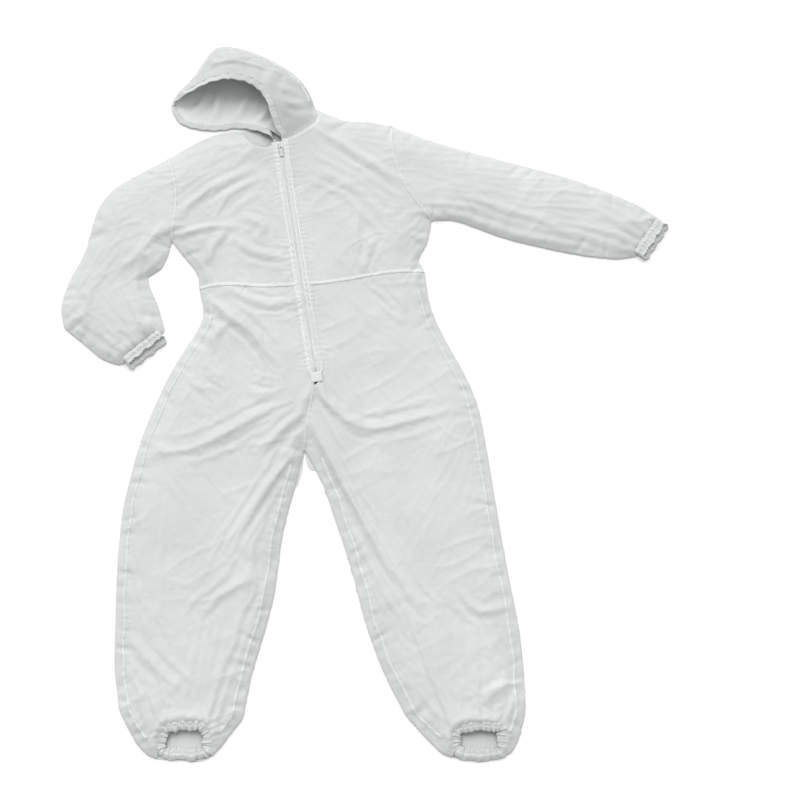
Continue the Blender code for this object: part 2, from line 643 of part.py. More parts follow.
def notched(points, low, high, top):
    """The run of points round a leg's end, stepped up to top between x = low and x = high."""
    out = []
    for a, b in zip(points, points[1:]):
        if not low < a[0] < high:
            out.append(a)
        walls = [w for w in (low, high) if (a[0] - w) * (b[0] - w) < 0]
        for wall in sorted(walls, key=lambda w: abs(w - a[0])):
            crossing = a + (b - a) * (wall - a[0]) / (b[0] - a[0])
            corner = np.array((wall, top))
            out += [corner, crossing] if low < a[0] < high else [crossing, corner]
    return out + [points[-1]]


def build_legs():
    sides = (
        ("right", -1, LEG_OUTER_RIGHT, LEG_END_RIGHT, LEG_INNER_RIGHT, WAIST_RIGHT, ANKLE_RIGHT),
        ("left", 1, LEG_OUTER_LEFT, LEG_END_LEFT, LEG_INNER_LEFT, WAIST_LEFT[::-1], ANKLE_LEFT),
    )
    seam = smooth(CROTCH_SEAM)[::-1]
    for side, sign, outer, end, inner, waist, ankle in sides:
        room = ANKLE_HALF_WIDTH + ANKLE_ROOM
        gap = [ankle[0] - room, ankle[0] + room]
        tip = notched(smooth(end), *gap, ankle[1])
        fly = zip_edge(sign, ZIP_LENGTH - 0.001, WAIST_AT)
        waist_run = smooth(waist)[-2:0:-1]
        front = chain(smooth(outer), tip, smooth(inner), seam[1:-1], fly, waist_run)
        domed_panel(f"front_leg_{side}", front, front_height)
        back = chain(smooth(outer), smooth(end), smooth(inner), [BACK_WAIST_MIDDLE], waist_run)
        flat_panel(f"back_leg_{side}", back)
        edge = [(ankle[0] + ANKLE_HALF_WIDTH, ankle[1]), (ankle[0] - ANKLE_HALF_WIDTH, ankle[1])]
        gathered_hem(side, "ankle", edge[::-1], ANKLE_HALF_WIDTH)


def build_sleeves():
    sleeve("sleeve_right", SLEEVE_RIGHT_OUTER, SLEEVE_RIGHT_INNER, ARMHOLE_RIGHT)
    sleeve("sleeve_left", SLEEVE_LEFT_OUTER, SLEEVE_LEFT_INNER, ARMHOLE_LEFT)
    gathered_hem("right", "wrist", (SLEEVE_RIGHT_OUTER[-1], SLEEVE_RIGHT_INNER[-1]), CUFF_HALF_WIDTH)
    gathered_hem("left", "wrist", (SLEEVE_LEFT_INNER[-1], SLEEVE_LEFT_OUTER[-1]), CUFF_HALF_WIDTH)


def rim_strip(points, start, end):
    """The strip beside a run along the face opening, from start to end into the hood."""
    run = smooth(points)
    ways = []
    for i in range(len(run)):
        along_run = run[min(i + 1, len(run) - 1)] - run[max(i - 1, 0)]
        ways.append(np.array((-along_run[1], along_run[0])) / np.linalg.norm(along_run))
    crown = np.array(CROWN[-2]) - run[0]
    ways[0] = crown / np.linalg.norm(crown)
    near = [p + w * start for p, w in zip(run, ways)]
    far = [p + w * end for p, w in zip(run, ways)]
    return near, far


def build_hood():
    """Two panels that meet along the crown, each with its part of the hem round the face opening."""
    crown = smooth(CROWN)[:-1]
    neck = smooth(NECK_LEFT)[1:-1]
    sides = (
        ("right", MOUTH_LOWER, hood_underside_height, HEM_GAP + FACE_ELASTIC_THICKNESS, HOOD_GRIDS[0]),
        ("left", MOUTH_UPPER, hood_height, -WALL - HEM_GAP, HOOD_GRIDS[1]),
    )
    for side, mouth, height, lift, grid in sides:

        def elastic_height(x, y):
            return height(x, y) + lift

        rim, edge = rim_strip(mouth, 0, FACE_HEM_DEPTH)
        domed_panel(f"hood_panel_{side}", chain(crown, edge, neck), height, grid=grid)
        domed_panel(f"hood_face_hem_{side}", chain(rim, edge[::-1]), height, grid=1)
        near, far = rim_strip(mouth, FACE_ELASTIC_INSET, FACE_ELASTIC_INSET + FACE_ELASTIC_DEPTH)
        strip = chain(near[1:], far[:0:-1])
        domed_panel(f"hood_elastic_{side}", strip, elastic_height, ELASTIC_WHITE, 1, FACE_ELASTIC_THICKNESS)


suit = bpy.data.collections.new("beekeeping_suit")
cutters = bpy.data.collections.new("cutters")


def main():
    for old in list(bpy.data.objects):
        bpy.data.objects.remove(old)
    for collection in (suit, cutters):
        bpy.context.scene.collection.children.link(collection)
    build_bodice()
    build_waistband()
    build_legs()
    build_sleeves()
    build_hood()
    build_zip()


main()
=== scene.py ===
"""Looks for a hooded protective coverall (beekeeping suit) laid flat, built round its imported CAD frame.

The front of the garment is one sheet of cloth with the authored folds and gathers as its rest shape. It is
simulated over the floor with its outline, neck and zip held, and is then cut into the panels that the CAD has.
Lengths are in metres.
"""
import json
import math

import bmesh
import bpy
import numpy as np
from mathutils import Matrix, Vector, noise
from mathutils.bvhtree import BVHTree
from mathutils.geometry import delaunay_2d_cdt
from mathutils.kdtree import KDTree


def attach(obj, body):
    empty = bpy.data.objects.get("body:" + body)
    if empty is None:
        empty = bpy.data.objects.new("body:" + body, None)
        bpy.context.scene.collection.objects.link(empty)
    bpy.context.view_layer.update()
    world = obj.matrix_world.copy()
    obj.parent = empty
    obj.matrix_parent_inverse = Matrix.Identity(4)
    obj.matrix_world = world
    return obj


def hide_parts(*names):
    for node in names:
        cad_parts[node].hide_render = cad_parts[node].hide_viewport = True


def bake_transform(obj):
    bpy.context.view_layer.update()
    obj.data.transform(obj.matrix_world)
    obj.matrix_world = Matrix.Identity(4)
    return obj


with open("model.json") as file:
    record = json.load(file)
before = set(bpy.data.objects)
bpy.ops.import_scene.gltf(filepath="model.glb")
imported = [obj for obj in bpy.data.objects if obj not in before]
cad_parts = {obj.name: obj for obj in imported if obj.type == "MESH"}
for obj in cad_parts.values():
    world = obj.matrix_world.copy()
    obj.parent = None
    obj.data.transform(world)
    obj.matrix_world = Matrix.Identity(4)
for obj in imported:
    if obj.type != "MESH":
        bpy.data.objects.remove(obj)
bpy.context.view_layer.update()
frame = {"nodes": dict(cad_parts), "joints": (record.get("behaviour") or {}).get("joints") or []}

FRONT = [
    "front_bodice_right", "front_bodice_left", "front_leg_right", "front_leg_left",
    "sleeve_right", "sleeve_left",
]
BACK = ["back_bodice", "back_leg_right", "back_leg_left"]

STEP = 0.008  # spacing of the cloth's points before it is subdivided
BACK_STEP = 0.014
HOOD_STEP = 0.006
CORNER = math.radians(28)  # an outline turns by more than this at a corner
STRAIGHT = 0.004  # a turn in radians that is too slight to keep its point
LOW_RIM = 0.0045  # rim points below this are on a folded edge; those above are on a hem, the neck or the zip
SIM_FRAMES = 14
SMALL_HOLE = 8  # points round a sliver left open between two panels
RANDOM = np.random.default_rng(7)

JOINTS = {joint["name"]: joint for joint in frame["joints"]}
ZIP_DOWN = np.array(JOINTS["zip_travel"]["axis"][:2], float)
ZIP_TOP = np.array(JOINTS["hood_fold"]["pos_m"][:2], float)
ZIP_Z = float(JOINTS["hood_fold"]["pos_m"][2])
ZIP_ACROSS = np.array((-ZIP_DOWN[1], ZIP_DOWN[0]))
PLACKET_INNER, PLACKET_OUTER = 0.0058, 0.0198  # from the zip's middle to the sides of the strip beside it


# ---- lines on the floor plane -------------------------------------------------------------------
def lengths(line):
    """How far along a line each of its points is."""
    return np.concatenate([[0], np.cumsum(np.linalg.norm(np.diff(line, axis=0), axis=1))])


def placed(line, where):
    """The points of a line at the given distances along it."""
    at = lengths(line)
    return np.stack([np.interp(where, at, line[:, k]) for k in range(line.shape[1])], axis=1)


def turned_left(line):
    """The way to the left of a line at each of its points."""
    tangent = np.gradient(line, axis=0)
    tangent /= np.maximum(np.linalg.norm(tangent, axis=1), 1e-9)[:, None]
    return np.stack([-tangent[:, 1], tangent[:, 0]], axis=1)


def even(line, step):
    """The same curve with points about step apart, smoothed a little."""
    line = np.asarray(line, float)
    for _ in range(2):
        line[1:-1] = 0.5 * line[1:-1] + 0.25 * (line[:-2] + line[2:])
    total = lengths(line)[-1]
    return placed(line, np.linspace(0, total, max(2, int(total / step))))


def smooth_run(points, step):
    """Points about step apart on the Catmull-Rom curve through points; the last one is left out."""
    ends = np.vstack([2 * points[0] - points[1], points, 2 * points[-1] - points[-2]])
    fine = []
    for a, b, c, d in zip(ends, ends[1:], ends[2:], ends[3:]):
        square, cube = 2 * a - 5 * b + 4 * c - d, 3 * b - a - 3 * c + d
        fine += [0.5 * (2 * b + (c - a) * t + square * t**2 + cube * t**3) for t in np.arange(0, 1, 0.1)]
    fine = np.array(fine + [points[-1]])
    total = lengths(fine)[-1]
    return placed(fine, np.linspace(0, total, max(1, round(total / step)) + 1)[:-1])


def segments(loop, closed=True):
    """The starts and the ends of a line's straight pieces."""
    loop = np.asarray(loop)[:, :2]
    return (loop, np.roll(loop, -1, axis=0)) if closed else (loop[:-1], loop[1:])


def nearest_on(lines, points):
    """Distance from each point to the nearest of the segments, and that segment's number."""
    a, b = lines
    d = b - a
    size = np.maximum((d * d).sum(1), 1e-12)
    counts = np.maximum(1, np.ceil(np.sqrt(size) / 0.002)).astype(int)
    owner = np.repeat(np.arange(len(a)), counts)
    share = np.concatenate([(np.arange(c) + 0.5) / c for c in counts])
    samples = a[owner] + d[owner] * share[:, None]
    tree = KDTree(len(samples))
    for i, (x, y) in enumerate(samples):
        tree.insert((x, y, 0), i)
    tree.balance()
    which = np.array([owner[tree.find((x, y, 0))[1]] for x, y in points], int)
    t = np.clip(((points - a[which]) * d[which]).sum(1) / size[which], 0, 1)
    return np.linalg.norm(points - a[which] - t[:, None] * d[which], axis=1), which


def along_lines(lines, points):
    """Each point's distance to the nearest segment, how far along them all that is, and the foot there."""
    a, b = lines
    size = np.linalg.norm(b - a, axis=1)
    start = np.concatenate([[0], np.cumsum(size)])[:-1]
    gap, which = nearest_on(lines, points)
    t = np.clip(((points - a[which]) * (b - a)[which]).sum(1) / np.maximum(size[which], 1e-9) ** 2, 0, 1)
    foot = a[which] + t[:, None] * (b - a)[which]
    return gap, start[which] + t * size[which], foot


def inside(loop, points):
    """Whether each point is within a closed outline."""
    x, y = points[:, 0], points[:, 1]
    crossed = np.zeros(len(points), bool)
    for (x0, y0), (x1, y1) in zip(*segments(loop)):
        if y0 != y1:
            crossed ^= ((y0 > y) != (y1 > y)) & (x < (x1 - x0) * (y - y0) / (y1 - y0) + x0)
    return crossed


def runs_of(flags):
    """The unbroken runs of set flags round a closed outline, as positions in order."""
    first = next(i for i in range(len(flags)) if flags[i] and not flags[i - 1])
    runs, run = [], []
    for k in range(len(flags)):
        i = (first + k) % len(flags)
        if flags[i]:
            run.append(i)
        elif run:
            runs.append(run)
            run = []
    return runs + [run] if run else runs


def in_order(flags):
    """The positions of all set flags round a closed outline, from where a run of them starts."""
    return [i for run in runs_of(flags) for i in run]


# ---- outlines, from the CAD panels --------------------------------------------------------------
def connected(left):
    """Groups of faces that touch one another."""
    groups = []
    while left:
        group, edge = set(), [left.pop()]
        while edge:
            face = edge.pop()
            group.add(face)
            for other in (other for side in face.edges for other in side.link_faces if other in left):
                left.discard(other)
                edge.append(other)
        groups.append(group)
    return groups


def upper_outline(node):
    """The outline of a CAD panel's upper face: points in order, anticlockwise, and which are corners."""
    bm = bmesh.new()
    bm.from_mesh(frame["nodes"][node].data)
    bmesh.ops.remove_doubles(bm, verts=bm.verts, dist=1e-5)
    bm.normal_update()
    groups = connected({face for face in bm.faces if face.normal.z > 0.35})
    areas = [sum(face.calc_area() for face in group) for group in groups]
    groups = [group for group, area in zip(groups, areas) if area > 0.2 * max(areas)]
    top = max(groups, key=lambda g: sum(f.calc_center_median().z for f in g) / len(g))
    after = {}
    for face in top:
        for loop in face.loops:
            if not any(f in top for f in loop.edge.link_faces if f is not face):
                after[loop.vert] = loop.link_loop_next.vert
    start = vert = next(iter(after))
    ring = [start.co.copy()]
    while after[vert] is not start:
        vert = after[vert]
        ring.append(vert.co.copy())
    bm.free()
    points = np.array(ring)
    points = np.roll(points, -int(np.lexsort((points[:, 1], points[:, 0]))[0]), axis=0)
    before = points[:, :2] - np.roll(points, 1, axis=0)[:, :2]
    onward = np.roll(points, -1, axis=0)[:, :2] - points[:, :2]
    turn = np.arctan2(before[:, 0] * onward[:, 1] - before[:, 1] * onward[:, 0], (before * onward).sum(1))
    kept = np.abs(turn) > STRAIGHT
    return points[kept], list(np.abs(turn[kept]) > CORNER)


def corner_runs(node):
    """A CAD panel's outline, cut at its corners."""
    points, corners = upper_outline(node)
    first = corners.index(True)
    points = np.roll(points, -first, axis=0)
    corners = corners[first:] + corners[:first]
    breaks = [i for i, corner in enumerate(corners) if corner] + [len(points)]
    loop = np.vstack([points, points[:1]])
    return [loop[a : b + 1] for a, b in zip(breaks, breaks[1:])]


def smooth_outline(node, step=STEP):
    """A CAD panel's outline as points about step apart, curved between its corners."""
    return np.vstack([smooth_run(run, step) for run in corner_runs(node)])


def long_runs(node, step):
    """The two long sides of a narrow CAD piece, as points about step apart."""
    runs = sorted(corner_runs(node), key=lambda run: -lengths(run[:, :2])[-1])
    return [np.vstack([smooth_run(run, step), run[-1]]) for run in runs[:2]]


# ---- meshes of triangles ------------------------------------------------------------------------
def hex_points(low, high, step):
    """A triangular grid, shaken a little so that folds don't follow it."""
    out = []
    for i, y in enumerate(np.arange(low[1], high[1], step * math.sqrt(3) / 2)):
        x = np.arange(low[0] + (i % 2) * step / 2, high[0], step)
        out.append(np.stack([x, np.full(len(x), y)], axis=1))
    out = np.vstack(out)
    return out + RANDOM.uniform(-0.18, 0.18, out.shape) * step


def triangulated(rim, grid, lines):
    """Triangles through the points of a rim and a grid, with the given lines as edges."""
    made = delaunay_2d_cdt([Vector(p) for p in np.vstack([rim, grid])], lines, [], 0, 1e-7)
    return np.array([tuple(v) for v in made[0]]), np.array([f for f in made[2] if len(f) == 3])


def fill(outline, step):
    """A triangle mesh inside an outline given by 2D points."""
    grid = hex_points(outline.min(0), outline.max(0), step)
    grid = grid[inside(outline, grid)]
    grid = grid[nearest_on(segments(outline), grid)[0] > 0.5 * step]
    count = len(outline)
    verts, faces = triangulated(outline, grid, [(i, (i + 1) % count) for i in range(count)])
    return verts, faces[inside(outline, verts[faces].mean(1))]


def sides_of(faces):
    """The three sides of each triangle, as pairs of point numbers."""
    return np.concatenate([faces[:, [0, 1]], faces[:, [1, 2]], faces[:, [2, 0]]])


def edges_of(faces):
    """Each edge once, how many triangles it has, and each side's edge."""
    sides = np.sort(sides_of(faces), axis=1)
    pairs, which, uses = np.unique(sides, axis=0, return_inverse=True, return_counts=True)
    return pairs, uses, which.ravel()


def rim_loops(faces):
    """The open edges of a mesh as closed runs of point numbers, with the mesh on their left."""
    _, uses, which = edges_of(faces)
    after = {}
    for a, b in sides_of(faces)[uses[which] == 1]:
        after.setdefault(int(a), []).append(int(b))
    loops = []
    while after:
        start = next(iter(after))
        run, at = [start], after[start].pop()
        while at != start:
            run.append(at)
            at = after[at].pop()
        after = {k: v for k, v in after.items() if v}
        loops.append(run)
    return loops


def refined(verts, faces, labels=None):
    """One step of Loop subdivision."""
    labels = np.zeros(len(faces), int) if labels is None else labels
    pairs, uses, which = edges_of(faces)
    opposite = np.concatenate([faces[:, 2], faces[:, 0], faces[:, 1]])
    n, m = len(verts), len(faces)
    across = np.zeros((len(pairs), 3))
    np.add.at(across, which, verts[opposite])
    ends = verts[pairs[:, 0]] + verts[pairs[:, 1]]
    inner = uses == 2
    middles = np.where(inner[:, None], ends * 0.375 + across * 0.125, ends * 0.5)
    ring, count = np.zeros((n, 3)), np.zeros(n)
    rim_ring, rim_count = np.zeros((n, 3)), np.zeros(n)
    for a, b in ((0, 1), (1, 0)):
        np.add.at(ring, pairs[:, a], verts[pairs[:, b]])
        np.add.at(count, pairs[:, a], 1)
        np.add.at(rim_ring, pairs[~inner, a], verts[pairs[~inner, b]])
        np.add.at(rim_count, pairs[~inner, a], 1)
    count = np.maximum(count, 1)
    weight = (0.625 - (0.375 + 0.25 * np.cos(2 * np.pi / count)) ** 2) / count
    moved = verts * (1 - count * weight)[:, None] + ring * weight[:, None]
    moved = np.where((rim_count == 2)[:, None], verts * 0.75 + rim_ring * 0.125, moved)
    moved = np.where((rim_count > 2)[:, None], verts, moved)
    ab, bc, ca = which[:m] + n, which[m : 2 * m] + n, which[2 * m :] + n
    a, b, c = faces.T
    parts = [(a, ab, ca), (b, bc, ab), (c, ca, bc), (ab, bc, ca)]
    made = np.stack([np.stack(p, axis=1) for p in parts], axis=1).reshape(-1, 3)
    return np.vstack([moved, middles]), made, np.repeat(labels, 4)


def rim_rings(verts, faces, labels, profiles, kinds):
    """The mesh with its open edge turned under: each rim point gets rings of points by its kind's profile."""
    face_of = {}
    for number, (a, b, c) in enumerate(faces.tolist()):
        face_of.update({(a, b): number, (b, c): number, (c, a): number})
    base = np.array(verts)
    loops = rim_loops(faces)
    verts, faces, labels = list(verts), list(faces), list(labels)
    for loop in loops:
        count = len(loop)
        points = base[loop]
        way = np.roll(points, -1, axis=0) - np.roll(points, 1, axis=0)
        out = np.stack([way[:, 1], -way[:, 0]], axis=1)
        out /= np.maximum(np.linalg.norm(out, axis=1), 1e-9)[:, None]
        rings = [list(loop)]
        for step in range(max(len(p) for p in profiles.values())):
            ring = []
            for k, index in enumerate(loop):
                profile = profiles[kinds[index]]
                if step >= len(profile):
                    ring.append(None)
                    continue
                side, drop = profile[step]
                ring.append(len(verts))
                verts.append(base[index] + np.array((out[k][0] * side, out[k][1] * side, drop)))
            rings.append(ring)
        for one, two in zip(rings, rings[1:]):
            for k in range(count):
                n = (k + 1) % count
                if None not in (one[k], one[n], two[k], two[n]):
                    faces += [(one[n], one[k], two[k]), (one[n], two[k], two[n])]
                    labels += [labels[face_of[(loop[k], loop[n])]]] * 2
    return np.array(verts), np.array([tuple(map(int, f)) for f in faces]), np.array(labels)


class Ground:
    """Finds the height and slope of a surface under a point seen from above."""

    def __init__(self, verts, faces):
        self.tree = BVHTree.FromPolygons([tuple(v) for v in verts], [tuple(int(i) for i in f) for f in faces])

    def drop(self, x, y):
        place, normal, _, _ = self.tree.ray_cast(Vector((x, y, 0.5)), Vector((0, 0, -1)))
        if place is None:
            place, normal, _, _ = self.tree.find_nearest(Vector((x, y, 0.02)))
            place = Vector((x, y, place.z))
        return place, -normal if normal.z < 0 else normal

    def heights(self, flat):
        return np.array([self.drop(float(x), float(y))[0].z for x, y in flat])


# ---- small random curves -------------------------------------------------------------------------
def wave(at, pitch, seed, spread=0.45):
    """A smooth wave from -1 to 1 along at, with uneven spacing and uneven crests."""
    random = np.random.default_rng(seed)
    low, high = float(np.min(at)) - 2 * pitch, float(np.max(at)) + 2 * pitch
    count = int((high - low) / pitch * 2 * 1.6) + 4
    steps = pitch / 2 * random.uniform(1 - spread, 1 + spread, count)
    where = low + np.cumsum(steps)
    crest = random.uniform(0.35, 1.0, count) * np.where(np.arange(count) % 2, 1, -1)
    i = np.clip(np.searchsorted(where, at) - 1, 0, count - 2)
    t = np.clip((at - where[i]) / (where[i + 1] - where[i]), 0, 1)
    t = t * t * (3 - 2 * t)
    return crest[i] * (1 - t) + crest[i + 1] * t


def soft_noise(points, size, seed):
    """Smooth noise from -1 to 1 at 2D points."""
    shift = Vector((seed * 7.13, seed * 3.71, seed * 1.37))
    return np.array([noise.noise(Vector((float(x), float(y), 0.0)) / size + shift) for x, y in points])


# ---- pieces --------------------------------------------------------------------------------------
def new_mesh(name, verts, faces):
    mesh = bpy.data.meshes.new(name)
    mesh.from_pydata([tuple(v) for v in verts], [], [tuple(int(i) for i in f) for f in faces])
    mesh.update()
    made = bpy.data.objects.new(name, mesh)
    bpy.context.scene.collection.objects.link(made)
    return made


def finished(made, look):
    made.data.shade_smooth()
    made.data.materials.append(MATERIALS[look])
    return made


def piece(name, verts, faces, look, body, *nodes, slot="cloth"):
    """A finished piece that rides its body, or for the hood has its place baked into its mesh, in place of the
    given CAD nodes.
    """
    made = finished(new_mesh(name, verts, faces), look)
    if body == "hood":
        blend_hood(made)
    else:
        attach(made, body)
    if nodes:
        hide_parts(*nodes)
    return made


def grid_faces(rows, wide, closed=False, turned=False, base=0):
    """Quads between rows of points; those that are turned face the other way."""
    faces = []
    for row in range(rows - 1):
        for k in range(wide if closed else wide - 1):
            a, b = base + row * wide + k, base + row * wide + (k + 1) % wide
            faces.append((a, a + wide, b + wide, b) if turned else (a, b, b + wide, a + wide))
    return faces


# ---- the hems' places, from the CAD ----------------------------------------------------------------
def cad_points(node):
    return np.array([v.co for v in frame["nodes"][node].data.vertices])


def hem_place(hem, limb, share=1.0):
    """A gathered hem's middle, the way it faces, the way across it, and its half sizes, with its ring pressed
    down to a share of its height."""
    points, limb_middle = cad_points(hem), cad_points(limb).mean(0)
    middle = (points.max(0) + points.min(0)) / 2
    spread = np.linalg.eigh(np.cov((points[:, :2] - middle[:2]).T))[1]
    across, facing = spread[:, 1], spread[:, 0]
    if facing @ (middle[:2] - limb_middle[:2]) < 0:
        facing = -facing
    if across[0] * facing[1] - across[1] * facing[0] < 0:
        across = -across
    flat = points[:, :2] - middle[:2]
    half = [np.ptp(flat @ across) / 2, np.ptp(points[:, 2]) / 2, np.ptp(flat @ facing) / 2]
    for way in (across, facing):
        middle[:2] += ((flat @ way).max() + (flat @ way).min()) / 2 * way
    low = middle[2] - half[1]
    half[1] *= share
    middle[2] = low + half[1]
    return {"middle": middle, "facing": facing, "across": across, "half": half}


HEMS = {
    "wrist_hem_right": hem_place("wrist_hem_right", "sleeve_right", 0.62),
    "wrist_hem_left": hem_place("wrist_hem_left", "sleeve_left", 0.55),
    "ankle_hem_right": hem_place("ankle_hem_right", "front_leg_right"),
    "ankle_hem_left": hem_place("ankle_hem_left", "front_leg_left"),
}


def hem_top(place, flat):
    """Height of the hem's ring over points beside it."""
    side = np.abs((flat - place["middle"][:2]) @ place["across"])
    wide, high = place["half"][0], place["half"][1]
    beyond = np.clip((side - (wide - high)) / high, 0, 1)
    return place["middle"][2] + high * np.sqrt(1 - beyond**2)


MOUTH_HALF_WIDTH = 0.0540
MOUTH_LENGTH = 0.0640  # from the front hem's edge down to the back hem's
MOUTH_TOP, MOUTH_LOW = 0.0195, 0.0062  # heights of the rim at the front and at the back
MOUTH_ROUND = 0.62  # 1 would make the opening an oval, 0 a rectangle
MOUTH_UNEVEN = ((2, 0.035), (3, 0.030), (5, 0.018))  # waves round the rim, and their share of its radius


def ankle_mouth(node, out=0.0):
    """The rim of a leg's opening, which faces up: points all round it, the way out of the hole, and heights."""
    place = HEMS[node]
    top = place["middle"][1] + place["half"][2] - 0.0005
    middle = np.array((place["middle"][0], top - MOUTH_LENGTH / 2))
    angle = np.linspace(0, 2 * math.pi, 1200)[:-1]
    seed = 31 if node.endswith("left") else 30
    uneven = 1 + sum(size * np.sin(n * angle + (i + 1) * seed) for i, (n, size) in enumerate(MOUTH_UNEVEN))
    x, y = (np.sign(f(angle)) * np.abs(f(angle)) ** MOUTH_ROUND for f in (np.cos, np.sin))
    flat = middle + np.stack([x * MOUTH_HALF_WIDTH, y * MOUTH_LENGTH / 2], axis=1) * uneven[:, None]
    flat = np.vstack([flat, flat[:1]])
    total = lengths(flat)[-1]
    flat = placed(flat, np.arange(0, total, 0.0011))
    turn = np.roll(flat, -3, axis=0) - np.roll(flat, 3, axis=0)
    outward = np.stack([turn[:, 1], -turn[:, 0]], axis=1) / np.linalg.norm(turn, axis=1)[:, None]
    up = np.clip((flat[:, 1] - top + MOUTH_LENGTH) / MOUTH_LENGTH, 0, 1)
    return flat + outward * out, outward, MOUTH_LOW + (MOUTH_TOP - MOUTH_LOW) * up**1.3, total


def opened(outline, node):
    """A leg's outline with its square notch made into the upper part of its rounded opening."""
    place = HEMS[node]
    x, y = place["middle"][:2]
    low = y - 0.045
    by_hem = np.abs(outline[:, 0] - x) < place["half"][0] + 0.006
    notch = runs_of(by_hem & (outline[:, 1] > low) & (outline[:, 1] < y + 0.012))[0]
    outline = np.roll(outline, -notch[0], axis=0)
    rim, _, up, _ = ankle_mouth(node, 0.0012)
    run = np.column_stack([rim, up])[in_order(rim[:, 1] > low)][::7]
    if np.linalg.norm(run[0, :2] - outline[0, :2]) > np.linalg.norm(run[-1, :2] - outline[0, :2]):
        run = run[::-1]
    return np.vstack([run, outline[len(notch) :]])


# ---- the front sheet -----------------------------------------------------------------------------
SAME_LINE = 0.0022  # outlines of two panels that are this close share their points there


def shared_outlines():
    """The front panels' outline points, with those that panels share given once, and who owns each."""
    points, owners, loops = [], [], {}
    for panel in FRONT:
        outline = smooth_outline(panel)
        if panel.startswith("front_leg"):
            outline = opened(outline, panel.replace("front_leg", "ankle_hem"))
        known = np.array(points).reshape(-1, 3)
        near = np.full(len(outline), 1e9)
        for ids in loops.values():
            near = np.minimum(near, nearest_on(segments(known[ids]), outline[:, :2])[0])
        loops[panel] = []
        for point, gap in zip(outline, near):
            away = np.linalg.norm(known[:, :2] - point[:2], axis=1) if gap < SAME_LINE else np.array([1e9])
            index = int(away.argmin()) if away.min() < 0.75 * STEP else len(points)
            if index == len(points):
                points.append(point)
                owners.append(set())
            if index not in loops[panel]:
                loops[panel].append(index)
                owners[index].add(panel)
    return np.array(points), owners, loops


def front_sheet():
    """The front panels as one triangle mesh, with each triangle's panel and the outlines."""
    points, owners, loops = shared_outlines()
    lines = sorted({tuple(sorted(pair)) for ids in loops.values() for pair in zip(ids, ids[1:] + ids[:1])})
    starts, ends = np.array(lines).T
    grid = hex_points(points.min(0)[:2], points.max(0)[:2], STEP)
    wanted = np.any([inside(points[ids], grid) for ids in loops.values()], axis=0)
    grid = grid[wanted]
    grid = grid[nearest_on((points[starts, :2], points[ends, :2]), grid)[0] > 0.55 * STEP]
    verts, faces = triangulated(points[:, :2], grid, lines)
    label = np.full(len(faces), -1)
    for number, panel in enumerate(FRONT):
        label[inside(points[loops[panel]], verts[faces].mean(1))] = number
    faces, label = faces[label >= 0], label[label >= 0]
    for loop in rim_loops(faces):
        if len(loop) <= SMALL_HOLE:
            fan = [(loop[0], loop[i + 1], loop[i]) for i in range(1, len(loop) - 1)]
            by = label[(faces == loop[0]).any(1)][0]
            faces, label = np.vstack([faces, fan]), np.concatenate([label, [by] * len(fan)])
    return verts, faces, label, points, owners, loops


# ---- the front's rest shape ---------------------------------------------------------------------
PUFF, REACH = 0.022, 0.070  # the dome's height over the folded edges, and how far in it is reached
SUPPORT = 0.70  # of the dome, the height of the trapped air that holds the front up
FOLD_SHARE = 0.55  # of the folds' heights below, before the cloth settles
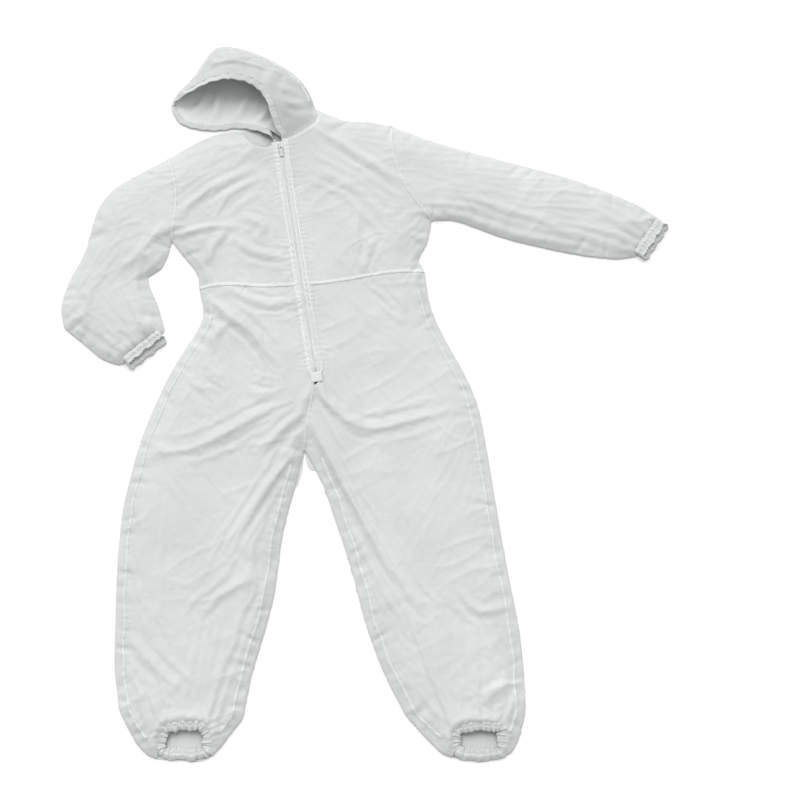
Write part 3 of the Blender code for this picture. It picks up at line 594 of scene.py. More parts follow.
# Folds: a ridge along points on the garment, then its height and half width. A negative height is a hollow.
FOLDS = [
    ([(-0.241, 0.523), (-0.340, 0.485), (-0.420, 0.419), (-0.453, 0.374)], 0.010, 0.010),
    ([(-0.252, 0.491), (-0.326, 0.445), (-0.375, 0.366)], 0.008, 0.011),
    ([(-0.451, 0.340), (-0.393, 0.356), (-0.335, 0.366)], 0.008, 0.007),
    ([(-0.328, 0.366), (-0.361, 0.314), (-0.377, 0.263)], 0.010, 0.009),
    ([(-0.317, 0.332), (-0.262, 0.296), (-0.180, 0.281)], 0.009, 0.009),
    ([(-0.301, 0.393), (-0.248, 0.366), (-0.256, 0.332)], 0.008, 0.009),
    ([(-0.163, 0.534), (-0.042, 0.472), (0.041, 0.385), (0.077, 0.340)], 0.010, 0.010),
    ([(-0.111, 0.621), (-0.019, 0.553), (0.096, 0.459)], 0.009, 0.010),
    ([(-0.018, 0.406), (-0.024, 0.327), (-0.012, 0.250)], 0.008, 0.008),
    ([(0.020, 0.340), (0.002, 0.288), (-0.016, 0.240)], 0.008, 0.007),
    ([(-0.328, 0.204), (-0.242, 0.166), (-0.154, 0.174)], 0.010, 0.009),
    ([(-0.376, 0.181), (-0.267, 0.094), (-0.203, 0.013)], 0.016, 0.011),
    ([(-0.313, 0.119), (-0.344, 0.094), (-0.352, 0.054)], 0.010, 0.009),
    ([(-0.384, 0.008), (-0.360, -0.024), (-0.325, -0.048)], -0.010, 0.012),
    ([(-0.269, -0.028), (-0.235, -0.040), (-0.190, -0.043)], -0.010, 0.011),
    ([(-0.122, -0.036), (-0.137, -0.072), (-0.152, -0.119)], 0.009, 0.008),
    ([(-0.118, -0.036), (-0.085, -0.076), (-0.047, -0.100)], 0.009, 0.009),
    ([(0.007, 0.207), (0.049, 0.161), (0.100, 0.124)], -0.010, 0.014),
    ([(-0.137, -0.065), (-0.237, -0.107), (-0.336, -0.162), (-0.412, -0.190), (-0.483, -0.195)], 0.014, 0.012),
    ([(-0.148, -0.107), (-0.202, -0.155), (-0.246, -0.190)], 0.010, 0.009),
    ([(-0.156, -0.202), (-0.221, -0.282), (-0.297, -0.414)], 0.009, 0.009),
    ([(-0.221, -0.473), (-0.289, -0.506), (-0.361, -0.560)], 0.008, 0.009),
    ([(-0.497, -0.614), (-0.429, -0.682), (-0.363, -0.740)], 0.009, 0.010),
    ([(-0.108, -0.065), (-0.047, -0.115), (0.021, -0.138), (0.121, -0.115), (0.189, -0.096)], 0.013, 0.012),
    ([(-0.113, -0.131), (-0.056, -0.260), (0.011, -0.373), (0.087, -0.495), (0.130, -0.539)], 0.011, 0.011),
    ([(0.195, -0.495), (0.248, -0.550), (0.312, -0.539)], 0.008, 0.008),
    ([(0.244, -0.751), (0.282, -0.719), (0.312, -0.699)], 0.012, 0.010),
]


def dome(gap):
    """Height over a folded edge at a distance from it."""
    return PUFF * (1 - (1 - np.minimum(gap / REACH, 1)) ** 2)


def fold_height(flat, folds):
    """Authored folds: rounded ridges with a shallow hollow on each side, that fade out at both ends."""
    height = np.zeros(len(flat))
    for line, rise, half in folds:
        run = np.vstack([smooth_run(np.array(line, float), 0.01), line[-1]])
        total = lengths(run)[-1]
        near = np.abs(flat - run.mean(0)).max(1) < total
        gap, at, _ = along_lines(segments(run, False), flat[near])
        fade = np.sin(np.pi * np.clip(at / total * 0.9 + 0.05, 0, 1)) ** 0.7
        ridge, hollow = np.exp(-((gap / half) ** 2)), np.exp(-(((gap - 2.1 * half) / (0.8 * half)) ** 2))
        height[near] += rise * fade * (ridge - 0.45 * hollow)
    return height


def gather_height(flat):
    """Ruffles that run from each gathered hem into its limb and die out."""
    height = np.zeros(len(flat))
    for seed, place in enumerate(HEMS.values()):
        offset = flat - place["middle"][:2]
        inward = -(offset @ place["facing"]) - place["half"][2]
        side = offset @ place["across"]
        near = (inward > -0.03) & (inward < 0.20) & (np.abs(side) < 0.14)
        t, s = np.maximum(inward[near], 0), side[near]
        fan = s / (1 + t / 0.16)
        long = wave(fan, 0.019, 40 + seed) * np.exp(-t / 0.055) * 0.0034
        short = wave(fan + 0.002 * np.sin(t / 0.012), 0.0095, 50 + seed) * np.exp(-t / 0.022) * 0.0022
        height[near] += (long + short) * np.minimum(1, 0.35 + t / 0.02)
    return height


CLOTH = {
    "quality": 5, "mass": 0.10, "air_damping": 2.0, "tension_stiffness": 15, "compression_stiffness": 15,
    "shear_stiffness": 8, "bending_stiffness": 0.08, "tension_damping": 5, "compression_damping": 5,
    "shear_damping": 5, "vertex_group_mass": "held",
}


def simulate(verts, faces, held, support):
    """Blender's cloth: held points stay; the rest falls over the support."""
    cloth, floor = new_mesh("front_cloth", verts, faces), new_mesh("support", support, faces)
    cloth.vertex_groups.new(name="held").add([int(i) for i in np.flatnonzero(held)], 1.0, "REPLACE")
    floor.modifiers.new("Collision", "COLLISION")
    floor.collision.thickness_outer = 0.001
    floor.collision.cloth_friction = 8
    modifier = cloth.modifiers.new("Cloth", "CLOTH")
    for name, value in CLOTH.items():
        setattr(modifier.settings, name, value)
    modifier.settings.effector_weights.gravity = 0.6
    modifier.collision_settings.distance_min = 0.001
    modifier.collision_settings.use_self_collision = False
    modifier.point_cache.frame_start = 1
    modifier.point_cache.frame_end = SIM_FRAMES
    scene = bpy.context.scene
    for number in range(1, SIM_FRAMES + 1):
        scene.frame_set(number)
    result = cloth.evaluated_get(bpy.context.evaluated_depsgraph_get()).data
    out = np.zeros(len(verts) * 3)
    result.vertices.foreach_get("co", out)
    scene.frame_set(1)
    bpy.data.objects.remove(cloth)
    bpy.data.objects.remove(floor)
    return out.reshape(-1, 3)


# ---- scallops, gathers beside the seams, and creases ----------------------------------------------
def scalloped(flat, lines):
    """Points by a folded edge drawn in at the notches between its scallops, and how deep the crease is."""
    gap, at, foot = along_lines(lines, flat)
    random = np.random.default_rng(3)
    total = float(np.linalg.norm(lines[1] - lines[0], axis=1).sum())
    places = np.cumsum(random.uniform(0.022, 0.058, int(total / 0.022)))
    places = places[places < total]
    depth = random.uniform(0.0006, 0.0034, len(places)) * random.choice([0.5, 1.0, 1.0], len(places))
    half = random.uniform(0.004, 0.009, len(places))
    lean = random.uniform(-0.5, 0.5, len(places))
    notch, crease = np.zeros(len(flat)), np.zeros(len(flat))
    near = np.flatnonzero(gap < 0.10)
    for place, deep, wide, slant in zip(places, depth, half, lean):
        away = at[near] - place
        close = np.abs(away) < 0.08
        index = near[close]
        off = gap[index]
        pulse = deep * np.exp(-(((away[close] - slant * off) / (wide * (1 + off / 0.05))) ** 2))
        notch[index] += pulse * np.exp(-off / 0.012)
        crease[index] += pulse * np.exp(-((off / 0.045) ** 2)) * np.minimum(1, off / 0.006)
    way = flat - foot
    size = np.maximum(np.linalg.norm(way, axis=1), 1e-6)
    return flat + way / size[:, None] * notch[:, None] * (size > 2e-6)[:, None], crease


PUCKERS = {  # pitch, reach and height of the gathers beside each kind of seam
    "waist": (0.013, 0.022, 0.0015),
    "armhole": (0.016, 0.016, 0.0010),
    "leg": (0.017, 0.013, 0.0013),
    "sleeve": (0.018, 0.012, 0.0010),
    "crotch": (0.014, 0.018, 0.0012),
    "zip": (0.0125, 0.024, 0.0016),
    "mouth": (0.0125, 0.030, 0.0028),
}


def pucker_height(flat, lines):
    """Short gathers that run away from each seam on both sides of it."""
    height = np.zeros(len(flat))
    for number, (name, line) in enumerate(lines.items()):
        pitch, reach, size = PUCKERS[name.split("_")[0]]
        seed = 200 + 11 * number
        gap, at, _ = along_lines(segments(line, False), flat)
        close = gap < reach * 3.5
        gap, at = gap[close], at[close]
        lean = wave(at, 0.09, seed + 7) * 0.5
        ends = [np.linalg.norm(flat[close] - end, axis=1) for end in (line[0], line[-1])]
        ease = np.minimum(1, np.minimum(*ends) / 0.015)
        strength = 0.55 + 0.45 * wave(at, 0.12, seed + 3)
        swell = np.minimum(1, 0.25 + gap / 0.004)
        gathers = wave(at + lean * gap, pitch, seed) * np.exp(-((gap / reach) ** 1.3))
        height[close] += size * gathers * ease * strength * swell
    return height


CREASES = (  # turn, length, width, height and seed of each layer of creases
    (0.5, 0.16, 0.050, 0.0016, 1),
    (-0.9, 0.12, 0.034, 0.0011, 2),
    (1.7, 0.07, 0.020, 0.0006, 3),
)


def crumple(flat):
    """Soft creases that thin cloth keeps: sharp ridges in patches, and a finer unevenness."""
    creases = np.zeros(len(flat))
    x, y = flat[:, 0], flat[:, 1]
    for turn, long, short, size, seed in CREASES:
        c, s = math.cos(turn), math.sin(turn)
        turned = np.stack([(x * c + y * s) / long, (y * c - x * s) / short], axis=1)
        ridge = 1 - np.abs(soft_noise(turned, 1.0, seed)) * 3.2
        patch = np.clip(soft_noise(flat, 0.13, seed + 10) * 2.2 + 0.45, 0, 1)
        creases += size * np.maximum(ridge, 0) ** 2 * patch
    return creases


# ---- seam lines ------------------------------------------------------------------------------------
def folded_runs(points, ids):
    """The runs of a panel's outline that are folded edges, long ones only."""
    runs = runs_of(points[ids][:, 2] < LOW_RIM)
    return [points[[ids[i] for i in run]][:, :2] for run in runs if len(run) > 20]


def beside(line, distance):
    """A line moved to its left by a distance that drifts a little."""
    line = even(line, 0.006)
    left = turned_left(line)
    for _ in range(6):
        left[1:-1] = (left[:-2] + left[1:-1] + left[2:]) / 3
    drift = distance + wave(lengths(line), 0.11, int(abs(line[0, 0]) * 1000)) * 0.0022
    return even(line + left * drift[:, None], 0.004)


def seam_lines(points, loops, owners):
    """Every seam on the front, by name."""

    def shared(one, other):
        ids = loops[one]
        return points[[ids[i] for i in in_order([other in owners[i] for i in ids])]][:, :2]

    lines = {}
    for side in ("right", "left"):
        bodice, leg, sleeve = "front_bodice_" + side, "front_leg_" + side, "sleeve_" + side
        lines["waist_seam_" + side] = shared(bodice, leg)
        lines["armhole_seam_" + side] = shared(bodice, sleeve)
        for number, run in enumerate(folded_runs(points, loops[leg])):
            lines["leg_seam_%s_%d" % (side, number)] = beside(run[6:-6], 0.019)
        for run in folded_runs(points, loops[sleeve]):
            if run[:, 1].mean() > points[loops[sleeve]][:, 1].mean():
                lines["sleeve_seam_" + side] = beside(run[8:-3], 0.014)
    lines["crotch_seam"] = shared("front_leg_right", "front_leg_left")
    return {name: even(line, 0.004) for name, line in lines.items()}


# ---- materials -------------------------------------------------------------------------------------
def add(tree, kind, **values):
    """A shader node with its inputs or properties set by name."""
    made = tree.nodes.new(kind)
    for key, value in values.items():
        if hasattr(made, key) and key not in [i.name for i in made.inputs]:
            setattr(made, key, value)
        else:
            made.inputs[key.replace("_", " ")].default_value = value
    return made


def grey(value, cool=0.01):
    """A grey that leans a little to blue."""
    return (value, value + cool, value + cool)


def surface(name, colour, roughness, specular=0.4, metallic=0.0, sheen=0.0):
    made = bpy.data.materials.new(name)
    made.use_nodes = True
    shader = made.node_tree.nodes["Principled BSDF"]
    looks = {"Base Color": (*colour, 1), "Roughness": roughness, "Specular IOR Level": specular,
             "Metallic": metallic, "Sheen Weight": sheen, "Sheen Roughness": 0.4}
    for socket, value in looks.items():
        shader.inputs[socket].default_value = value
    return made, made.node_tree, shader


def mottled(tree, shader, light, dark, scale, socket="Base Color"):
    """Colour or roughness that drifts between two values in soft patches."""
    place = add(tree, "ShaderNodeTexCoord")
    patches = add(tree, "ShaderNodeTexNoise", Scale=scale, Detail=4.0, Roughness=0.55)
    ramp = add(tree, "ShaderNodeValToRGB")
    tree.links.new(place.outputs["Object"], patches.inputs["Vector"])
    tree.links.new(patches.outputs["Fac"], ramp.inputs["Fac"])
    for stop, position, value in zip(ramp.color_ramp.elements, (0.35, 0.65), (dark, light)):
        stop.position = position
        stop.color = (*value, 1) if hasattr(value, "__len__") else (value, value, value, 1)
    tree.links.new(ramp.outputs["Color"], shader.inputs[socket])


def woven(
    name, light, dark, crumple=0.0, rough=(0.55, 0.68), thread=0.00045, depth=0.00010, sheen=0.15, cool=0.01
):
    """Plain weave: threads both ways over and under, a few thicker ones, and a fine crumple."""
    made, tree, shader = surface(name, grey(light, cool), rough[1], specular=0.35, sheen=sheen)
    link = tree.links.new
    mottled(tree, shader, grey(light, cool), grey(dark, cool), 9.0)
    mottled(tree, shader, *rough, 14.0, socket="Roughness")
    place = add(tree, "ShaderNodeTexCoord")
    over = add(tree, "ShaderNodeMath", operation="MULTIPLY")
    for number, direction in enumerate("XY"):
        bands = add(tree, "ShaderNodeTexWave", wave_type="BANDS", bands_direction=direction, Distortion=0.6,
                    Scale=0.31831 / thread / 2, Detail_Scale=3.0)
        link(place.outputs["Object"], bands.inputs["Vector"])
        link(bands.outputs["Fac"], over.inputs[number])
    stretch = add(tree, "ShaderNodeMapping")
    stretch.inputs["Scale"].default_value = (420, 26, 60)
    link(place.outputs["Object"], stretch.inputs["Vector"])
    slubs = add(tree, "ShaderNodeTexNoise", Scale=1.0, Detail=3.0)
    link(stretch.outputs["Vector"], slubs.inputs["Vector"])
    creases = add(tree, "ShaderNodeTexNoise", Scale=38.0, Detail=5.0, Roughness=0.6, Distortion=0.6)
    link(place.outputs["Object"], creases.inputs["Vector"])
    sources = [(over.outputs["Value"], depth), (slubs.outputs["Fac"], depth * 0.8)]
    sources.append((creases.outputs["Fac"], crumple))
    normal = None
    for source, size in sources[: 3 if crumple else 2]:
        bump = add(tree, "ShaderNodeBump", Strength=1.0, Distance=size)
        link(source, bump.inputs["Height"])
        if normal is not None:
            link(normal, bump.inputs["Normal"])
        normal = bump.outputs["Normal"]
    link(normal, shader.inputs["Normal"])
    return made


def moulded(name, light, dark, roughness, metallic=0.0):
    """A smooth made part, with small marks in its finish."""
    made, tree, shader = surface(name, light, roughness, 0.5, metallic)
    mottled(tree, shader, light, dark, 60.0)
    mottled(tree, shader, roughness * 0.8, min(1, roughness * 1.35), 120.0, socket="Roughness")
    place = add(tree, "ShaderNodeTexCoord")
    marks = add(tree, "ShaderNodeTexNoise", Scale=900.0, Detail=3.0)
    bump = add(tree, "ShaderNodeBump", Strength=0.6, Distance=0.00004)
    tree.links.new(place.outputs["Object"], marks.inputs["Vector"])
    tree.links.new(marks.outputs["Fac"], bump.inputs["Height"])
    tree.links.new(bump.outputs["Normal"], shader.inputs["Normal"])
    return made


MATERIALS = {
    "cloth": woven("suit_cloth", 0.650, 0.605, 0.0012),
    # The hood's upper panel: the suit's cloth painted darker, as painted shade, so that it stays as dark as the
    # rest though it tilts towards the key light
    "hood": woven("hood_cloth", 0.565, 0.525, 0.0012),
    # The hood's lower panel, whose inside shows: the suit's cloth painted lighter, as painted light that lifts
    # the shade the upper panel casts into the hood
    "hood_painted_light": woven("hood_inner_cloth_painted_light", 0.78, 0.73, 0.0012),
    "hem": woven("hem_cloth", 0.64, 0.59, 0.0008, (0.58, 0.72)),
    "seam": woven("seam_cloth", 0.73, 0.69, 0.0006, (0.55, 0.70)),
    # White nylon tape, painted lighter still than the cloth as painted light that lifts the shade in the zip's
    # recess between the plackets
    "tape": woven("zip_tape_weave", 0.92, 0.88, 0.0, (0.60, 0.75), 0.00055, 0.00022, 0.1),
    "thread": woven("sewing_thread", 0.77, 0.73, 0.0, (0.50, 0.60), 0.00020, 0.00005, 0.1, cool=0.0),
    # White nylon coil, painted lighter still than the cloth as painted light that lifts the shade in the zip's
    # narrow channel
    "coil": moulded("zip_nylon", grey(0.96), grey(0.92), 0.36),
    "metal": moulded("slider_enamel", (0.46, 0.47, 0.48), (0.36, 0.37, 0.38), 0.40, metallic=0.45),
}


# ---- camera, light and floor -----------------------------------------------------------------------
FLOOR_HALF = 90
WORLD_LIGHT = 0.45
LIGHTS = [  # name, the way it comes from, how wide it is in degrees, and strength
    ("key", (-0.9, 2.4, 2.7), 60, 2.48),
    ("fill", (2.0, 0.4, 3.2), 80, 0.42),
]
LOOKED_AT, CAMERA_AWAY, CAMERA_TILT, LENS = (0.0766, -0.0717, 0.02), 3.3, math.radians(70), 66


def stage_scene():
    corners = [(x * FLOOR_HALF, y * FLOOR_HALF, 0) for x, y in ((-1, -1), (1, -1), (1, 1), (-1, 1))]
    floor = new_mesh("floor", corners, [(0, 1, 2, 3)])
    made, tree, shader = surface("floor_white", (0.93, 0.93, 0.93), 0.9, specular=0.1)
    mottled(tree, shader, (0.935, 0.935, 0.935), (0.925, 0.925, 0.925), 1.5)
    floor.data.materials.append(made)
    floor.location.z = -0.0004
    scene = bpy.context.scene
    scene.world = bpy.data.worlds.new("studio")
    scene.world.use_nodes = True
    background = scene.world.node_tree.nodes["Background"].inputs
    background["Color"].default_value = (1, 1, 1, 1)
    background["Strength"].default_value = WORLD_LIGHT
    for name, place, spread, power in LIGHTS:
        data = bpy.data.lights.new(name, "SUN")
        data.angle = math.radians(spread)
        data.energy = power
        lamp = bpy.data.objects.new(name, data)
        lamp.location = place
        lamp.rotation_euler = (-lamp.location).to_track_quat("-Z", "Y").to_euler()
        scene.collection.objects.link(lamp)
    camera = bpy.data.objects.new("camera", bpy.data.cameras.new("camera"))
    camera.data.lens = LENS
    camera.data.sensor_width = 36
    ahead = Vector((0, math.cos(CAMERA_TILT), -math.sin(CAMERA_TILT)))
    camera.location = Vector(LOOKED_AT) - CAMERA_AWAY * ahead
    camera.rotation_euler = (math.pi / 2 - CAMERA_TILT, 0, 0)
    scene.collection.objects.link(camera)
    scene.camera = camera
    scene.view_settings.view_transform = "Standard"


# ---- the front -------------------------------------------------------------------------------------
def held_heights(verts, held, low, height):
    """Heights of the rim points that lie on a hem's ring or round a leg's opening."""
    for place in HEMS.values():
        offset = verts - place["middle"][:2]
        beside_it = np.abs(offset @ place["across"]) < place["half"][0] + 0.002
        close = held & ~low & beside_it & (np.abs(offset @ place["facing"]) < place["half"][2] + 0.006)
        height[close] = hem_top(place, verts[close]) + 0.0006
    for node in ("ankle_hem_right", "ankle_hem_left"):
        rim, _, rim_up, _ = ankle_mouth(node)
        gap, which = nearest_on(segments(rim), verts)
        by_mouth = held & ~low & (gap < 0.012) & (verts[:, 1] < HEMS[node]["middle"][1] + 0.03)
        height[by_mouth] = rim_up[which[by_mouth]] + 0.0004


def build_front():
    """Simulates the front and adds its fine gathers. Returns the mesh, its outlines and its seam lines."""
    verts, faces, labels, rim_points, owners, loops = front_sheet()
    pairs, uses, _ = edges_of(faces)
    rim = pairs[uses == 1]
    height = np.zeros(len(verts))
    height[: len(rim_points)] = rim_points[:, 2]
    low = (height < LOW_RIM) & (np.arange(len(verts)) < len(rim_points))
    fold_lines = ordered(verts, rim[low[rim].all(1)])
    gap, _, _ = along_lines(fold_lines, verts)
    held = np.zeros(len(verts), bool)
    held[np.unique(rim)] = True
    rest = np.maximum(0.0034 + dome(gap) + FOLD_SHARE * fold_height(verts, FOLDS) + gather_height(verts), 0.003)
    held_heights(verts, held, low, height)
    rest[held] = height[held]
    fine = np.column_stack([verts, rest])
    fine = simulate(fine, faces, held, np.column_stack([verts, 0.0014 + SUPPORT * dome(gap)]))
    fine, faces, labels = refined(fine, faces, labels)
    moved, crease = scalloped(fine[:, :2], fold_lines)
    fine[:, 2] -= np.minimum(crease * 1.3, 0.5 * np.maximum(fine[:, 2] - 0.003, 0))
    fine[:, :2] = moved
    lines = seam_lines(rim_points, loops, owners)
    downs = np.arange(0.002, zip_range("zip_tape_right")[1][1] - 0.002, 0.004)
    for side, sign in (("right", -1), ("left", 1)):
        ridge = [ZIP_TOP + ZIP_ACROSS * sign * PLACKET_OUTER + ZIP_DOWN * down for down in downs]
        lines["zip_ridge_" + side] = np.array(ridge)
        lines["mouth_rim_" + side] = ankle_mouth("ankle_hem_" + side)[0]
    free = np.clip((fine[:, 2] - 0.004) / 0.006, 0, 1)
    from_zip = np.abs((fine[:, :2] - ZIP_TOP) @ ZIP_ACROSS)
    flat_by_zip = np.clip((from_zip - PLACKET_OUTER) / 0.010, 0, 1)
    fine[:, 2] += (pucker_height(fine[:, :2], lines) + crumple(fine[:, :2]) * flat_by_zip) * free
    return fine, faces, labels, fold_lines, loops, rim_points, lines


def ordered(verts, pairs):
    """Segments of the folded edges, run after run, so that the way along them is continuous."""
    links = {}
    for a, b in pairs.tolist():
        links.setdefault(a, []).append(b)
        links.setdefault(b, []).append(a)
    seen, ends = set(), []
    for at in [k for k, v in links.items() if len(v) == 1] + sorted(links):
        onward = [n for n in links[at] if frozenset((at, n)) not in seen]
        while onward:
            seen.add(frozenset((at, onward[0])))
            ends.append((verts[at][:2], verts[onward[0]][:2]))
            at = onward[0]
            onward = [n for n in links[at] if frozenset((at, n)) not in seen]
    ends = np.array(ends)
    return ends[:, 0], ends[:, 1]


# How the cloth turns under at its rim: steps out from the rim point, and down from it.
RIM_PROFILES = {
    "fold": [(0.0010, -0.0012), (0.0012, -0.0022), (0.0004, -0.0029)],
    "edge": [(0.0006, -0.0005), (0.0003, -0.0012), (-0.0060, -0.0014)],
}


def cut_front(verts, faces, labels, fold_lines):
    """The front with its rim turned under."""
    folded = (nearest_on(fold_lines, verts[:, :2])[0] < 0.006) & (verts[:, 2] < 0.006)
    return rim_rings(verts, faces, labels, RIM_PROFILES, ["fold" if flag else "edge" for flag in folded])


def back_mesh(outline, fold_lines, seed):
    """A back panel on the floor, with slight wrinkles."""
    verts, faces = fill(outline, BACK_STEP)
    verts, faces, _ = refined(np.column_stack([verts, np.zeros(len(verts))]), faces)
    flat = verts[:, :2]
    gap = nearest_on(segments(outline), flat)[0]
    rough = soft_noise(flat * (1, 0.6), 0.055, seed) + 0.5 * soft_noise(flat, 0.02, seed + 5)
    height = 0.0005 + np.clip(rough + 0.4, 0, 1.5) * 0.0014 * np.minimum(1, gap / 0.03)
    return np.column_stack([scalloped(flat, fold_lines)[0], height]), faces


def build_panels(verts, faces, labels, loops, rim_points, fold_lines):
    """The front panels, cut from the front; each sleeve's under side; and the back panels."""
    panels = []
    for number, panel in enumerate(FRONT):
        used, index = np.unique(faces[labels == number], return_inverse=True)
        own_verts, own_faces, layers = verts[used], index.reshape(-1, 3), 1
        if panel.startswith("sleeve"):
            under, under_faces = back_mesh(rim_points[loops[panel]][:, :2], fold_lines, number)
            own_faces = np.vstack([own_faces, under_faces[:, ::-1] + len(own_verts)])
            own_verts, layers = np.vstack([own_verts, under]), 2
        panels.append((panel, own_verts, own_faces, layers))
    for number, panel in enumerate(BACK):
        panels.append((panel, *back_mesh(smooth_outline(panel, 0.010)[:, :2], fold_lines, 20 + number), 1))
    for panel, own_verts, own_faces, layers in panels:
        made = piece(panel + "_cloth", own_verts, own_faces, "cloth", "garment", panel)


# ---- seams and stitches ------------------------------------------------------------------------------
# Sections across a seam: share of its half width, and share of its height.
SEAM_PROFILE = [
    (-1.15, -0.6), (-1, 0.25), (-0.6, 0.9), (-0.2, 1.0), (0.0, 0.35),
    (0.2, 1.0), (0.6, 0.9), (1, 0.25), (1.15, -0.6),
]
BAND_PROFILE = [
    (-1.1, -0.8), (-1, 0.5), (-0.8, 0.9), (-0.3, 1.0), (0.3, 1.0), (0.8, 0.9), (1, 0.5), (1.1, -0.8),
]
SEAMS = {  # half width, height, section, and how far the stitches are from the middle
    "waist": (0.0040, 0.0014, BAND_PROFILE, (0.0022,)),
    "armhole": (0.0027, 0.0011, SEAM_PROFILE, (-0.0034, 0.0034)),
    "leg": (0.0028, 0.0013, SEAM_PROFILE, (-0.0036, 0.0036)),
    "sleeve": (0.0026, 0.0011, SEAM_PROFILE, (-0.0034, 0.0034)),
    "crotch": (0.0026, 0.0011, SEAM_PROFILE, (-0.0032, 0.0032)),
}
STITCH, STITCH_GAP, THREAD_HALF = 0.0026, 0.0006, 0.0002


def ribbon(name, ground, line, half, lift, profile, seed, ripple, pitch, body="garment"):
    """A narrow raised seam that follows the cloth along a line on the floor plane."""
    at, left = lengths(line), turned_left(line)
    sway, bumps = wave(at, pitch * 2.3, seed) * 0.0006, wave(at, pitch, seed + 1) * ripple
    verts = []
    for i, (point, side) in enumerate(zip(line, left)):
        for across, up in profile:
            x, y = point + side * (across * half + sway[i])
            verts.append((x, y, ground.drop(x, y)[0].z + up * lift + bumps[i] * (up > 0)))
    piece(name, verts, grid_faces(len(line), len(profile), turned=True), "seam", body)


def stitches(name, ground, line, offset, lift=0.00055, body="garment"):
    """A row of stitches beside a line: one short rounded thread each, sunk at both ends."""
    at, left = lengths(line), turned_left(line)
    verts, faces = [], []
    for start in np.arange(0.002, at[-1] - STITCH, STITCH + STITCH_GAP):
        faces += grid_faces(3, 4, closed=True, base=len(verts))
        base = len(verts)
        faces += [(base + 3, base + 2, base + 1, base), (base + 8, base + 9, base + 10, base + 11)]
        for along, size, up in ((0, 0.5, 0.1), (0.5, 1, 1), (1, 0.5, 0.1)):
            where = start + STITCH * along
            point = np.array([np.interp(where, at, line[:, k]) for k in (0, 1)])
            side = np.array([np.interp(where, at, left[:, k]) for k in (0, 1)])
            x, y = point + side * offset
            place, normal = ground.drop(x, y)
            centre = Vector((x, y, place.z)) + normal * lift * up
            for a, b in ((1, 0), (0, 1), (-1, 0), (0, -1)):
                out = Vector((*side, 0)) * a * THREAD_HALF * size * 1.3
                verts.append(centre + out + Vector((0, 0, b * THREAD_HALF * size)))
    piece(name, verts, faces, "thread", body)


def build_seams(ground, lines):
    """The raised seams with their stitches, on top of the cloth."""
    for seed, (name, line) in enumerate(lines.items()):
        if name.split("_")[0] in SEAMS:
            half, lift, profile, rows = SEAMS[name.split("_")[0]]
            line = even(line, 0.0022)
            ribbon(name, ground, line, half, lift, profile, 300 + seed, 0.0003, 0.009)
            for offset in rows:
                stitches("%s_stitches_0%s" % (name, "b" if offset < 0 else "a"), ground, line, offset)


# The placket's section from its folded edge by the coil outwards: share of its width, and height.
PLACKET_SECTION = [
    (0.0, -0.0010), (-0.01, 0.0003), (0.03, 0.0010), (0.10, 0.0011), (0.18, 0.0008), (0.25, 0.0003),
    (0.32, 0.0007),
    (0.45, 0.0009), (0.58, 0.0008), (0.66, 0.0003), (0.73, 0.0010), (0.82, 0.0016), (0.91, 0.0015),
    (0.98, 0.0008),
    (1.03, 0.0), (1.04, -0.0008),
]
PLACKET_ROWS = (0.25, 0.66)  # where its stitches are, as shares of its width
BY_COIL = 0.0075  # from the zip's middle, where the placket's folded edge takes its height


def build_plackets(ground):
    """The folded strips that cover the tapes, sewn down beside the coil and again along their outer sides."""
    (_, (start, end), _) = zip_range("zip_tape_right")
    downs = np.arange(start + 0.001, end - 0.001, 0.0015)
    wide = PLACKET_OUTER - PLACKET_INNER
    for seed, (side, sign) in enumerate((("right", -1), ("left", 1))):
        ruffle, drift = wave(downs, 0.0085, 400 + seed), wave(downs, 0.055, 410 + seed)
        bumps = wave(downs, 0.0060, 420 + seed)
        verts = []
        for i, down in enumerate(downs):
            ease = min(1.0, (down - start) / 0.005, (end - down) / 0.005)
            for share, up in PLACKET_SECTION:
                loose = max(0.0, share - 0.5) * 2
                across = PLACKET_INNER + wide * share + loose * (ruffle[i] * 0.0007 + drift[i] * 0.0009)
                x, y = zip_xy(sign * across, down)
                height = ground.drop(*((x, y) if share > 0.1 else zip_xy(sign * BY_COIL, down)))[0].z
                swell = (loose * ruffle[i] * 0.0003 + bumps[i] * 0.0001) * (up > 0)
                verts.append((x, y, height + (up + swell) * ease - 0.0006 * (1 - ease)))
        faces = [face[::-sign] for face in grid_faces(len(downs), len(PLACKET_SECTION))]
        piece("zip_placket_" + side, verts, faces, "seam", "garment")
        for number, share in enumerate(PLACKET_ROWS):
            line = np.array([zip_xy(sign * (PLACKET_INNER + wide * share), down) for down in downs])
            stitches("zip_placket_%s_stitches_%d" % (side, number), ground, line, 0.0, lift=0.0009)


# ---- gathered hems -----------------------------------------------------------------------------------
def stadium(half_wide, half_high, count):
    """Points round a flat ring with round ends, with the way out of it at each."""
    straight, arc = 2 * (half_wide - half_high), math.pi * half_high
    total = 2 * (straight + arc)
    points, outward = [], []
    for s in np.arange(count) / count * total:
        turn, along = (0, s) if s < straight + arc else (math.pi, s - straight - arc)
        angle = turn + math.pi / 2 + max(0.0, along - straight) / half_high
        way = (math.cos(angle), math.sin(angle))
        centre = (straight / 2 - min(along, straight)) * (1 if turn == 0 else -1)
        points.append((centre + half_high * way[0], half_high * way[1]))
        outward.append(way)
    return np.array(points), np.array(outward), total


LOWER_LIP_OUT = 0.22  # how much further out a cuff's lower side lies
UPPER_LIP_BACK = {"wrist_hem_right": 0.42, "wrist_hem_left": 0.22}  # how much shorter a cuff's upper side lies
